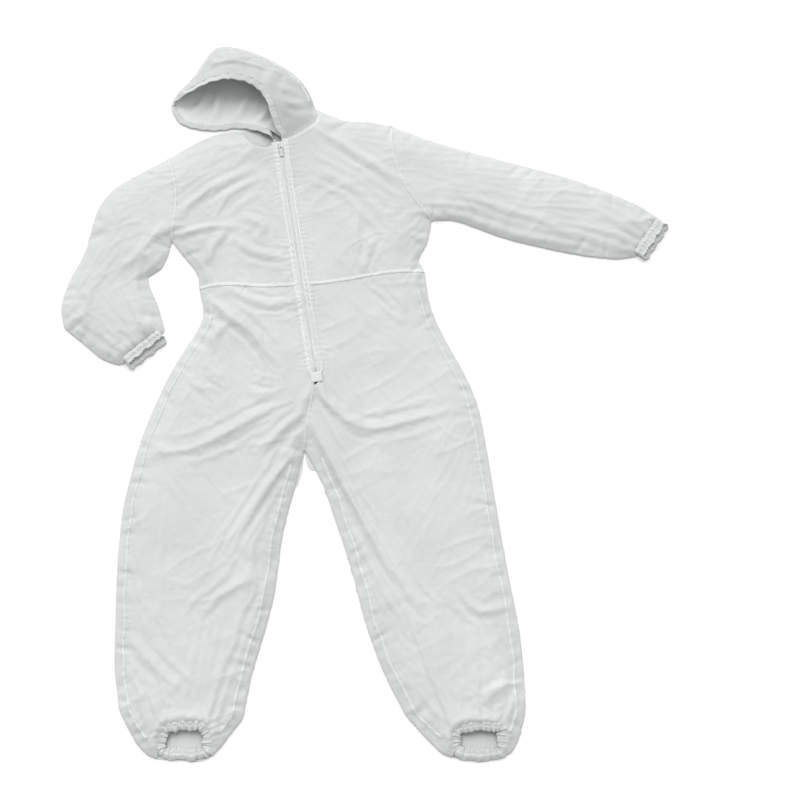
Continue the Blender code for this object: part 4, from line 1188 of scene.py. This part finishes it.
# A hem's section from its limb edge over the outside to the mouth and back inside: depth share, and height.
HEM_SECTION = [
    (-0.55, -0.0016), (-0.35, -0.0004), (-0.12, 0.0005), (0.06, 0.0007), (0.18, -0.0003), (0.32, 0.0004),
    (0.48, -0.0006), (0.62, 0.0004), (0.76, -0.0001), (0.90, 0.0011), (1.04, 0.0016), (1.12, 0.0010),
    (1.14, -0.0004), (1.06, -0.0018), (0.90, -0.0028), (0.70, -0.0034), (0.45, -0.0036), (0.20, -0.0036),
    (0.02, -0.0034),
]
# A leg hem's section from under the leg's cloth over its outside into the mouth and back: way in, and height.
MOUTH_SECTION = [
    (-0.0090, -0.0034), (-0.0055, -0.0010), (-0.0025, 0.0006), (0.0000, 0.0012), (0.0025, 0.0007),
    (0.0048, -0.0002),
    (0.0062, 0.0004), (0.0080, 0.0006), (0.0100, 0.0002), (0.0122, 0.0004), (0.0145, 0.0000), (0.0156, -0.0010),
    (0.0150, -0.0022), (0.0130, -0.0028), (0.0095, -0.0032), (0.0060, -0.0034), (0.0020, -0.0036),
]
JOIN = 0.008  # the ruffles die out this far from where their ring closes
CUFF_POINTS = 300
FLOOR_GAP = 0.0003  # the least height of a cuff over the floor
MOUTH_FLOOR_GAP = 0.0019  # and of a leg's hem, over the back of the leg


def build_cuff(node, seed):
    """A wrist's ruffled hem, drawn in by the elastic inside it."""
    place = HEMS[node]
    wide, high, deep = place["half"]
    ring, outward, total = stadium(wide - 0.001, high - 0.001, CUFF_POINTS)
    at = np.arange(CUFF_POINTS) / CUFF_POINTS * total
    sway = wave(at, 0.03, 90 + seed)
    ease = np.minimum(1, np.minimum(at, total - at) / JOIN)
    above = (1 + outward[:, 1]) / 2
    verts = []
    for share, lift in HEM_SECTION:
        loose = min(1.0, (abs(share - 0.42) / 0.6) ** 1.3) * (0.5 if share < 0 else 1.0)
        big = wave(at + 0.0035 * math.sin(4 * share + seed) * sway, 0.0125, 70 + seed, 0.7)
        small = wave(at - 0.0030 * share * sway, 0.0060, 80 + seed, 0.7)
        inner = 1.0 if lift > -0.002 else 0.6
        radial = lift + ease * inner * (big * (0.0003 + 0.0013 * loose) + small * (0.0003 + 0.0004 * loose))
        shorter = 1 + (LOWER_LIP_OUT * (1 - above) - UPPER_LIP_BACK[node] * above) * (share > 0)
        depth = -deep + 2 * deep * share * shorter + ease * (sway * 0.0024 + big * 0.0014) * loose
        for (a, b), d in zip(ring + outward * radial[:, None], depth):
            x, y = place["middle"][:2] + place["across"] * a + place["facing"] * d
            verts.append((x, y, max(place["middle"][2] + b, FLOOR_GAP)))
    return verts, grid_faces(len(HEM_SECTION), CUFF_POINTS, closed=True), total


def build_mouth(node, seed):
    """A leg's gathered hem, lying as the ruffled rim of an opening that faces up."""
    flat, outward, up, total = ankle_mouth(node)
    at = np.arange(len(flat)) / len(flat) * total
    ease = np.minimum(1, np.minimum(at, total - at) / JOIN)
    big, small = wave(at, 0.0135, 70 + seed, 0.7) * ease, wave(at, 0.0062, 80 + seed, 0.7) * ease
    sway = wave(at, 0.045, 90 + seed) * ease
    verts = []
    for way_in, lift in MOUTH_SECTION:
        loose = min(1.0, abs(way_in - 0.005) / 0.009)
        upper = 1.0 if lift > -0.002 else 0.5
        inward = way_in + (sway * 0.0030 + big * 0.0016 + small * 0.0006) * (0.4 + 0.6 * loose)
        height = up + lift + upper * (big * (0.0008 + 0.0020 * loose) + small * (0.0006 + 0.0006 * loose))
        height -= (up - MOUTH_LOW) * 0.30 * (max(way_in, 0) / 0.0156) ** 2
        for (x, y), z in zip(flat - outward * inward[:, None], height):
            verts.append((x, y, max(z, MOUTH_FLOOR_GAP)))
    faces = [face[::-1] for face in grid_faces(len(MOUTH_SECTION), len(flat), closed=True, turned=True)]
    return verts, faces, total


def build_hems():
    """The ruffled hems at the wrists and ankles."""
    for seed, node in enumerate(HEMS):
        verts, faces, total = (build_mouth if node.startswith("ankle") else build_cuff)(node, seed)
        made = piece(node + "_ruffle", verts, faces, "hem", "garment", node, node.replace("_hem_", "_elastic_"))


CASING_SECTION = [  # share of the half width, and height over the back panel
    (-1.0, 0.0009), (-0.96, 0.0019), (-0.80, 0.0026), (-0.55, 0.0022), (-0.30, 0.0025), (0.0, 0.0023),
    (0.30, 0.0025),
    (0.55, 0.0022), (0.80, 0.0026), (0.96, 0.0019), (1.0, 0.0009), (0.9, 0.0003), (0.0, 0.0002), (-0.9, 0.0003),
]


def build_casing():
    """The casing sewn across the back's inner side, drawn in by the elastic inside it."""
    one, two = long_runs("waist_casing", 0.0015)
    if np.linalg.norm(one[0] - two[0]) > np.linalg.norm(one[0] - two[-1]):
        two = two[::-1]
    count, wide = min(len(one), len(two)), len(CASING_SECTION)
    one, two = (placed(line, np.linspace(0, lengths(line)[-1], count)) for line in (one, two))
    middle, half = (one + two) / 2, (one - two) / 2
    at = lengths(middle[:, :2])
    gathers, drift = wave(at, 0.011, 500), wave(at, 0.06, 501)
    base = cad_points("waist_elastic")[:, 2].min() - 0.0001
    verts = []
    for i in range(count):
        for share, up in CASING_SECTION:
            x, y = (middle[i] + half[i] * share * (0.97 + 0.03 * drift[i]))[:2]
            verts.append((x, y, base + up * (1 + 0.16 * gathers[i])))
    last = (count - 1) * wide
    faces = [tuple(range(wide)), tuple(last + k for k in reversed(range(wide)))]
    faces += grid_faces(count, wide, closed=True, turned=True)
    made = new_mesh("waist_casing_gathered", verts, faces)
    bm = bmesh.new()
    bm.from_mesh(made.data)
    bmesh.ops.recalc_face_normals(bm, faces=bm.faces)
    bm.to_mesh(made.data)
    bm.free()
    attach(finished(made, "hem"), "garment")
    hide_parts("waist_casing", "waist_elastic")


# ---- the hood ------------------------------------------------------------------------------------------
HOOD_FOLDS = {
    "hood_panel_left": [
        ([(-0.400, 0.785), (-0.319, 0.791), (-0.255, 0.779), (-0.192, 0.766)], 0.0045, 0.006),
        ([(-0.381, 0.794), (-0.319, 0.802), (-0.286, 0.828)], 0.0035, 0.007),
        ([(-0.215, 0.790), (-0.235, 0.755), (-0.240, 0.715)], 0.004, 0.010),
        ([(-0.330, 0.850), (-0.320, 0.815), (-0.300, 0.785)], 0.004, 0.009),
        ([(-0.395, 0.830), (-0.380, 0.800), (-0.360, 0.780)], 0.004, 0.008),
        ([(-0.150, 0.690), (-0.190, 0.680), (-0.220, 0.690)], 0.004, 0.009),
        ([(-0.160, 0.730), (-0.195, 0.740), (-0.225, 0.735)], -0.003, 0.010),
        ([(-0.180, 0.650), (-0.205, 0.665), (-0.225, 0.680)], 0.003, 0.007),
    ],
    "hood_panel_right": [
        ([(-0.330, 0.650), (-0.310, 0.690), (-0.290, 0.740)], 0.006, 0.010),
        ([(-0.380, 0.650), (-0.370, 0.690), (-0.365, 0.740)], 0.005, 0.009),
        ([(-0.280, 0.640), (-0.255, 0.670), (-0.240, 0.700)], 0.006, 0.009),
        ([(-0.430, 0.670), (-0.410, 0.700), (-0.400, 0.730)], 0.004, 0.008),
    ],
}
# How a panel turns under at its rim. The left panel's rim along the crown comes down to the right panel.
HOOD_PROFILES = {
    "edge": [(0.0006, -0.0008), (0.0, -0.0018)],
    "crown": [(0.0010, -0.0008), (0.0013, -0.0026), (0.0010, -0.0050), (0.0, -0.0100)],
}
HOOD_LOWEST = {"hood_panel_right": 0.0004, "hood_panel_left": 0.0011}
HEM_END_ACROSS = 0.0068  # from the zip's middle to where the hem round the face ends
TAB_REACH = 0.0125  # how far past the zip's top the pull tab comes when it is turned over, with room to spare
TAB_EASE = 0.012  # the hem makes way for the tab over this length
FACE_HEM_POINTS = 16  # round the hem


def blend_hood(made):
    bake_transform(made)


def evened(height, faces, times):
    """Heights drawn towards their neighbours' mean, but for those of the open edge."""
    pairs, uses, _ = edges_of(faces)
    rim = np.zeros(len(height), bool)
    rim[np.unique(pairs[uses == 1])] = True
    for _ in range(times):
        total, count = np.zeros(len(height)), np.zeros(len(height))
        for a, b in ((0, 1), (1, 0)):
            np.add.at(total, pairs[:, a], height[pairs[:, b]])
            np.add.at(count, pairs[:, a], 1)
        height = np.where(rim, height, 0.5 * height + 0.5 * total / count)
    return height


def hood_panel(node, seed, bodice_ground):
    """A hood panel's cloth: the CAD panel's height, evened out, with its folds."""
    outline = smooth_outline(node, HOOD_STEP)
    verts, faces = fill(outline[:, :2], HOOD_STEP)
    mesh = frame["nodes"][node].data
    height = Ground([v.co for v in mesh.vertices], [p.vertices for p in mesh.polygons]).heights(verts)
    height[: len(outline)] = outline[:, 2]
    height = evened(height, faces, 25)
    if node.endswith("left"):
        to_neck = nearest_on(segments(smooth_outline("front_bodice_left", 0.004)), verts)[0]
        by_neck = np.flatnonzero(to_neck < 0.035)
        pull = np.exp(-((to_neck[by_neck] / 0.014) ** 2))
        height[by_neck] += (bodice_ground.heights(verts[by_neck]) - 0.0004 - height[by_neck]) * pull
    ease = np.minimum(1, nearest_on(segments(outline), verts)[0] / 0.02)
    rough = soft_noise(verts, 0.045, seed) * 0.0022 + soft_noise(verts, 0.018, seed + 1) * 0.0008
    height += (fold_height(verts, HOOD_FOLDS[node]) + rough) * ease
    verts, faces, _ = refined(np.column_stack([verts, height]), faces)
    return verts, faces, outline


def build_hood(bodice_ground):
    """The hood's two panels, each with its hem round the face. Returns the left one's surface and outline."""
    for number, node in enumerate(("hood_panel_right", "hood_panel_left")):
        verts, faces, outline = hood_panel(node, 60 + number, bodice_ground)
        ground = Ground(verts, faces)
        kinds = np.full(len(verts), "edge", object)
        if node.endswith("left"):
            below = segments(smooth_outline("hood_panel_right", HOOD_STEP))
            kinds[nearest_on(below, verts[:, :2])[0] < 0.008] = "crown"
        verts, faces, _ = rim_rings(verts, faces, np.zeros(len(faces), int), HOOD_PROFILES, kinds)
        verts[:, 2] = np.maximum(verts[:, 2], HOOD_LOWEST[node])
        # The upper (left) panel takes the cloth painted darker as painted shade; the lower (right) panel takes
        # the cloth painted lighter as painted light
        look = "hood" if node.endswith("left") else "hood_painted_light"
        made = piece(node + "_cloth", verts, faces, look, "hood", node)
        build_face_hem(node.replace("panel", "face_hem"), ground, outline, number)
    return ground, outline


def hem_runs(node, panel_outline, sign):
    """The rim of the hem round the face, carried on to the zip's top, and the way from it to its other side."""
    runs = long_runs(node, 0.0025)
    inner, rim = sorted(runs, key=lambda run: nearest_on(segments(panel_outline), run[:, :2])[0].mean())
    if np.linalg.norm(rim[0, :2] - ZIP_TOP) < np.linalg.norm(rim[-1, :2] - ZIP_TOP):
        rim = rim[::-1]
    way = along_lines(segments(inner, False), rim[:, :2])[2] - rim[:, :2]
    start, goal = rim[-1], np.array(zip_point(sign * HEM_END_ACROSS, 0, ZIP_Z))
    count = max(2, int(np.linalg.norm(goal - start) / 0.0025))
    share = (np.arange(count) + 1)[:, None] / count
    rim = np.vstack([rim, start + (goal - start) * share])
    way = np.vstack([way, way[-1] + (ZIP_ACROSS * sign * 0.005 - way[-1]) * share])
    for _ in range(6):
        way[1:-1] = (way[:-2] + way[1:-1] + way[2:]) / 3
        rim[1:-1] = (rim[:-2] + 2 * rim[1:-1] + rim[2:]) / 4
    offset = rim[:, :2] - ZIP_TOP
    across, down = offset @ ZIP_ACROSS * sign, offset @ ZIP_DOWN
    share = np.clip((down + TAB_REACH + TAB_EASE) / TAB_EASE, 0, 1)
    short = np.maximum(0, HEM_END_ACROSS * 0.88 - across)
    rim[:, :2] += ZIP_ACROSS * sign * (share * share * (3 - 2 * share) * short)[:, None]
    return rim, way


def build_face_hem(node, panel_ground, panel_outline, number):
    """The gathered hem round the face opening, a soft tube round its elastic."""
    rim, way = hem_runs(node, panel_outline, 1 if number else -1)
    width = np.linalg.norm(way, axis=1)
    way /= width[:, None]
    at = lengths(rim[:, :2])
    ends = np.minimum(1, np.minimum(at, at[-1] - at) / 0.012)
    big, small = wave(at, 0.026, 100 + number, 0.7) * ends, wave(at, 0.0095, 110 + number, 0.7) * ends
    panel_z = panel_ground.heights(rim[:, :2] + way * (width[:, None] + 0.004))
    panel_z = np.where(np.abs(panel_z - rim[:, 2]) < 0.012, panel_z, rim[:, 2])
    panel_z = np.convolve(np.pad(panel_z, 2, mode="edge"), np.ones(5) / 5, "valid")
    verts = []
    for i, (px, py, pz) in enumerate(rim):
        for angle in np.arange(FACE_HEM_POINTS) * 2 * math.pi / FACE_HEM_POINTS:
            across, sine = (1 - math.cos(angle)) / 2, math.sin(angle)
            side = across * (width[i] + 0.003) - 0.001 + big[i] * 0.0012 * (1 - across)
            thick = (0.0022 + 0.0007 * math.cos(2 * angle)) * (0.12 + 0.88 * ends[i])
            ruffle = (big[i] * 0.0008 + small[i] * 0.0005) * (1 if sine > 0 else 0.4)
            base = pz + (panel_z[i] - pz) * across - 0.0006 - 0.0022 * (1 - ends[i]) ** 2
            x, y = (px, py) + way[i] * side
            verts.append((x, y, max(base + sine * thick + ruffle, 0.0004)))
    last = (len(rim) - 1) * FACE_HEM_POINTS
    faces = grid_faces(len(rim), FACE_HEM_POINTS, closed=True, turned=True)
    faces.append(tuple(range(FACE_HEM_POINTS)))
    faces.append(tuple(last + k for k in reversed(range(FACE_HEM_POINTS))))
    made = piece(node + "_ruffle", verts, faces, "hem", "hood", node, node.replace("face_hem", "elastic"))


def moved_in(line, outline, distance):
    """A line moved towards the inside of an outline."""
    into = turned_left(line) * distance
    return line + into if inside(outline, line + into).mean() > 0.5 else line - into


def build_hood_seams(ground, outline, bodice_ground):
    """The crown seam with its two rows of stitches, and the band along the neck."""
    others = [segments(smooth_outline(node, 0.004)) for node in ("hood_face_hem_left", "front_bodice_left")]
    free = np.min([nearest_on(other, outline[:, :2])[0] for other in others], axis=0) > 0.010
    line = even(outline[in_order(free)][:, :2], 0.003)
    line = even(moved_in(line, outline, 0.0065), 0.0025)[3:-3]
    ribbon("hood_crown_seam", ground, line, 0.0024, 0.0010, SEAM_PROFILE, 600, 0.0002, 0.012, "hood")
    for number, offset in enumerate((-0.0036, 0.0036)):
        stitches("hood_crown_stitches_%d" % number, ground, line, offset, body="hood")
    bodice = smooth_outline("front_bodice_left", 0.003)
    near = nearest_on(segments(outline), bodice[:, :2])[0] < 0.004
    neck = moved_in(bodice[in_order(near)][:, :2], bodice, 0.0055)
    if np.linalg.norm(neck[0] - ZIP_TOP) > np.linalg.norm(neck[-1] - ZIP_TOP):
        neck = neck[::-1]
    neck = even(np.vstack([zip_xy(PLACKET_INNER, 0), neck[3:-6]]), 0.0025)
    ribbon("neck_seam", bodice_ground, neck, 0.0044, 0.0005, BAND_PROFILE, 610, 0.0003, 0.010)
    stitches("neck_seam_stitches", bodice_ground, neck, 0.0025, lift=0.0012)


# ---- the zip ---------------------------------------------------------------------------------------------
def zip_xy(across, down):
    """A place on the floor plane from its place across and along the zip."""
    return ZIP_TOP + ZIP_ACROSS * across + ZIP_DOWN * down


def zip_point(across, down, up):
    x, y = zip_xy(across, down)
    return (float(x), float(y), float(up))


def zip_range(node):
    """A zip node's extent across, along and above, in the zip's own directions."""
    points = cad_points(node)
    flat = points[:, :2] - ZIP_TOP
    return [(size.min(), size.max()) for size in (flat @ ZIP_ACROSS, flat @ ZIP_DOWN, points[:, 2])]


def soften(node, width, look):
    """A CAD node with rounded edges and a finished material."""
    made = frame["nodes"][node]
    bevel = made.modifiers.new("rounded", "BEVEL")
    bevel.width = width
    bevel.segments = 3
    bevel.limit_method = "ANGLE"
    bevel.harden_normals = False
    for slot in made.material_slots:
        slot.material = MATERIALS[look]


TAPE_RIBS = 7
TAPE_POINTS = 29  # across the tape
TAPE_STEP = 0.003


def build_tape(side):
    """A woven tape with ribs along it and a corded edge by the coil."""
    (a, b), (start, end), (low, high) = zip_range("zip_tape_" + side)
    shares = np.linspace(0, 1, TAPE_POINTS)
    near = shares if side == "left" else 1 - shares
    rib = 0.00012 * np.sin(near * 2 * math.pi * TAPE_RIBS)
    cord = 0.0004 * np.exp(-(((near - 0.10) / 0.05) ** 2)) + 0.00025 * np.exp(-(((near - 0.30) / 0.03) ** 2))
    rows = np.arange(start, end, TAPE_STEP)
    flutter = wave(rows, 0.020, 130 + (side == "left")) * 0.0003
    verts = []
    for row, down in enumerate(rows):
        for k, share in enumerate(shares):
            up = high - 0.0002 + rib[k] + cord[k] + flutter[row] * near[k]
            verts.append(zip_point(a + (b - a) * share, down, up))
    layer = len(verts)
    verts += [zip_point(a + (b - a) * share, down, low) for down in rows for share in shares]
    faces = grid_faces(len(rows), TAPE_POINTS) + grid_faces(len(rows), TAPE_POINTS, turned=True, base=layer)
    for i in range(len(rows) - 1):
        for c in (i * TAPE_POINTS, (i + 1) * TAPE_POINTS - 1):
            faces.append((c, c + TAPE_POINTS, layer + c + TAPE_POINTS, layer + c))
    piece("zip_tape_%s_woven" % side, verts, faces, "tape", "garment", "zip_tape_" + side, slot="zip_tape")


COIL_PITCH, COIL_HALF = 0.0013, 0.00042  # from turn to turn, and half the thickness of the nylon
COIL_HOOK = 0.00055  # how far a turn reaches past the coil's inner side
# A sewing stitch over the coil: down along the zip, share of its height, and share of its thickness.
COIL_STITCH = ((0, 0, 0.3), (0.0005, 0.9, 1), (0.0011, 1.0, 1), (0.0017, 0.9, 1), (0.0022, 0, 0.3))


def build_coil(side):
    """The coil's turns, each a bent loop of nylon that hooks past the middle, with the sewing over them."""
    (a, b), (start, end), (low, high) = zip_range("zip_coil_" + side)
    sign, offset = (1, 0.0) if side == "left" else (-1, COIL_PITCH / 2)
    inner, outer = sorted((abs(a), abs(b)))
    middle, half = (low + high) / 2, (high - low) / 2 * 0.8
    path = [
        (outer, -0.25, -0.35), (outer - 0.0006, -0.15, 0.75), (inner + 0.0005, 0.0, 0.95),
        (inner - COIL_HOOK, 0.05, 0.35), (inner - COIL_HOOK, 0.1, -0.35), (inner + 0.0005, 0.2, -0.85),
        (outer - 0.0004, 0.5, -0.80),
    ]
    verts, faces = [], []
    for down in np.arange(start + 0.001 + offset, end - 0.001, COIL_PITCH):
        base, last = len(verts), len(verts) + (len(path) - 1) * 6
        points = [Vector((sign * x, down + y * COIL_PITCH, middle + z * half)) for x, y, z in path]
        for before, point, after in zip(points[:1] + points, points, points[1:] + points[-1:]):
            way = (after - before).normalized()
            one = way.cross(Vector((0, 1, 0))).normalized()
            two = way.cross(one)
            for angle in (math.pi / 3 * k for k in range(6)):
                at = point + one * COIL_HALF * math.cos(angle) + two * COIL_HALF * math.sin(angle)
                verts.append(zip_point(*at))
        faces += grid_faces(len(path), 6, closed=True, base=base)
        faces += [tuple(base + k for k in reversed(range(6))), tuple(last + k for k in range(6))]
    piece("zip_coil_%s_turns" % side, verts, faces, "coil", "garment", "zip_coil_" + side, slot="zip_coil")
    verts, faces = [], []
    for shift in (0.35, 0.72):
        x = sign * (inner + (outer - inner) * shift)
        for down in np.arange(start + 0.001, end - 0.003, 0.0024):
            faces += grid_faces(len(COIL_STITCH), 4, closed=True, base=len(verts))
            for d, u, t in COIL_STITCH:
                for way_out, way_up in ((1, 0), (0, 1), (-1, 0), (0, -1)):
                    z = high - 0.0003 + u * 0.0004 + 0.00016 * t * way_up
                    verts.append(zip_point(x + 0.00022 * t * way_out, down + d, z))
    piece("zip_coil_%s_sewing" % side, verts, faces, "thread", "garment")


def plate(outline, low, high, bevel, bm):
    """A plate with rounded edges from an outline in the zip's own directions."""
    lower = [bm.verts.new((x, y, low)) for x, y in outline]
    upper = [bm.verts.new((x, y, high)) for x, y in outline]
    faces = [bm.faces.new(upper), bm.faces.new(lower[::-1])]
    for a, b, c, d in zip(lower, lower[1:] + lower[:1], upper[1:] + upper[:1], upper):
        bm.faces.new((a, b, c, d))
    rims = [edge for face in faces for edge in face.edges]
    bmesh.ops.bevel(bm, geom=rims, offset=bevel, segments=3, profile=0.6, affect="EDGES")


def shield(half_wide, half_long, middle):
    """The outline of a slider's plate: a rounded oblong that narrows to its lower end."""
    outline = []
    for angle in np.arange(48) * 2 * math.pi / 48:
        x, y = (math.copysign(abs(v) ** 0.55, v) for v in (math.sin(angle), -math.cos(angle)))
        waist = 1 - 0.22 * max(0, y) ** 2 - 0.05 * max(0, -y)
        outline.append((x * half_wide * waist, middle + y * half_long))
    return outline


BRIDGE_HALF, BRIDGE_STEPS = 0.0043, 12


def bridge(bm, middle, low, high):
    """The bridge over the pull tab: a flat strip along an arch."""
    arch = []
    for k in range(BRIDGE_STEPS + 1):
        t = k / BRIDGE_STEPS
        arch.append((middle + BRIDGE_HALF * (2 * t - 1), low + (high - low) * math.sin(math.pi * t) ** 0.35))
    rings = []
    for i, (y, z) in enumerate(arch):
        before, after = arch[max(i - 1, 0)], arch[min(i + 1, BRIDGE_STEPS)]
        up = Vector((1, 0, 0)).cross(Vector((0, after[0] - before[0], after[1] - before[1])).normalized())
        wide = 0.0012 + 0.0004 * abs(2 * i / BRIDGE_STEPS - 1)
        section = ((-1, -0.0004), (1, -0.0004), (1, 0.0003), (0.7, 0.0005), (-0.7, 0.0005), (-1, 0.0003))
        rings.append([bm.verts.new(Vector((wide * dx, y, z)) + up * du) for dx, du in section])
    for one, two in zip(rings, rings[1:]):
        for k in range(6):
            n = (k + 1) % 6
            bm.faces.new((one[k], one[n], two[n], two[k]))
    bm.faces.new(rings[0][::-1])
    bm.faces.new(rings[-1])


def build_slider():
    """The slider: two shield-shaped plates with turned-in sides, their post, and the bridge over the tab."""
    (a, b), (start, end), (_, high) = zip_range("zip_slider")
    half_wide, half_long, middle = (b - a) / 2, (end - start) / 2, (start + end) / 2
    top_low = zip_range("zip_coil_right")[2][1] + 0.00035
    top_high = top_low + 0.0012
    bottom_high = zip_range("zip_tape_right")[2][0] - 0.00035
    outline = shield(half_wide, half_long, middle)
    bm = bmesh.new()
    plate(outline, top_low, top_high, 0.0004, bm)
    plate(outline, bottom_high - 0.0011, bottom_high, 0.0004, bm)
    upper_end, lower_end = middle - half_long * 0.72, middle + half_long * 0.55
    for sign in (-1, 1):
        lip = [
            (sign * (half_wide - 0.0010), upper_end), (sign * (half_wide - 0.0001), upper_end),
            (sign * (half_wide * 0.93), lower_end), (sign * (half_wide * 0.93 - 0.0009), lower_end),
        ][::sign]
        plate(lip, top_low - 0.0009, top_low + 0.0004, 0.0001, bm)
        plate(lip, bottom_high - 0.0004, bottom_high + 0.0003, 0.0001, bm)
    y0, y1 = middle - half_long * 0.8, middle - half_long * 0.2
    post = [(-0.0004, y0), (0.0004, y0), (0.0004, y1), (-0.0004, y1)]
    plate(post, bottom_high - 0.0004, top_low + 0.0004, 0.0001, bm)
    bridge(bm, middle, top_high - 0.0004, high - 0.0002)
    for vert in bm.verts:
        vert.co = Vector(zip_point(*vert.co))
    bmesh.ops.recalc_face_normals(bm, faces=bm.faces)
    made = new_mesh("zip_slider_body", [], [])
    bm.to_mesh(made.data)
    bm.free()
    finished(made, "metal")
    made.data.set_sharp_from_angle(angle=math.radians(40))
    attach(made, "slider")
    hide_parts("zip_slider")


PATCH_ACROSS, PATCH_ALONG = 23, 17  # points


def build_patch():
    """The small patch sewn over the lower end of the zip."""
    (a, b), (_, end), (low, _) = zip_range("fly_patch")
    start = zip_range("zip_bottom_stop")[1][1] + 0.0008
    verts = []
    for y in np.linspace(start, end, PATCH_ALONG):
        for x in np.linspace(a, b, PATCH_ACROSS):
            edge = max(0.0, min(x - a, b - x, y - start, end - y))
            swell = 0.0007 * min(1, edge / 0.0012) ** 0.5
            swell -= 0.0004 * math.exp(-(((edge - 0.0022) / 0.0006) ** 2))
            swell += 0.0003 * noise.noise(Vector((x, y, 0)) * 260)
            verts.append(zip_point(x, y, low - 0.0003 + swell))
    faces = grid_faces(PATCH_ALONG, PATCH_ACROSS, turned=True)
    numbers = np.arange(len(verts)).reshape(PATCH_ALONG, PATCH_ACROSS)
    rim = [*numbers[0], *numbers[1:, -1], *numbers[-1, -2::-1], *numbers[-2:0:-1, 0]]
    base = len(verts)
    verts += [(*verts[i][:2], low - 0.0012) for i in rim]
    for k in range(len(rim)):
        n = (k + 1) % len(rim)
        faces.append((rim[k], rim[n], base + n, base + k))
    piece("fly_patch_cloth", verts, faces, "seam", "garment", "fly_patch")


def build_zip():
    for side in ("right", "left"):
        build_tape(side)
        build_coil(side)
    for node in ("zip_top_stop_right", "zip_top_stop_left", "zip_bottom_stop"):
        soften(node, 0.0004, "metal")
    soften("zip_pull_tab", 0.00028, "metal")
    build_slider()
    build_patch()


# ---- everything, in order ----------------------------------------------------------------------------
stage_scene()
front, front_faces, labels, fold_lines, loops, rim_points, lines = build_front()
ground = Ground(front, front_faces)
build_panels(*cut_front(front, front_faces, labels, fold_lines), loops, rim_points, fold_lines)
build_hems()
build_hood_seams(*build_hood(ground), ground)
build_zip()
build_seams(ground, lines)
build_plackets(ground)
build_casing()
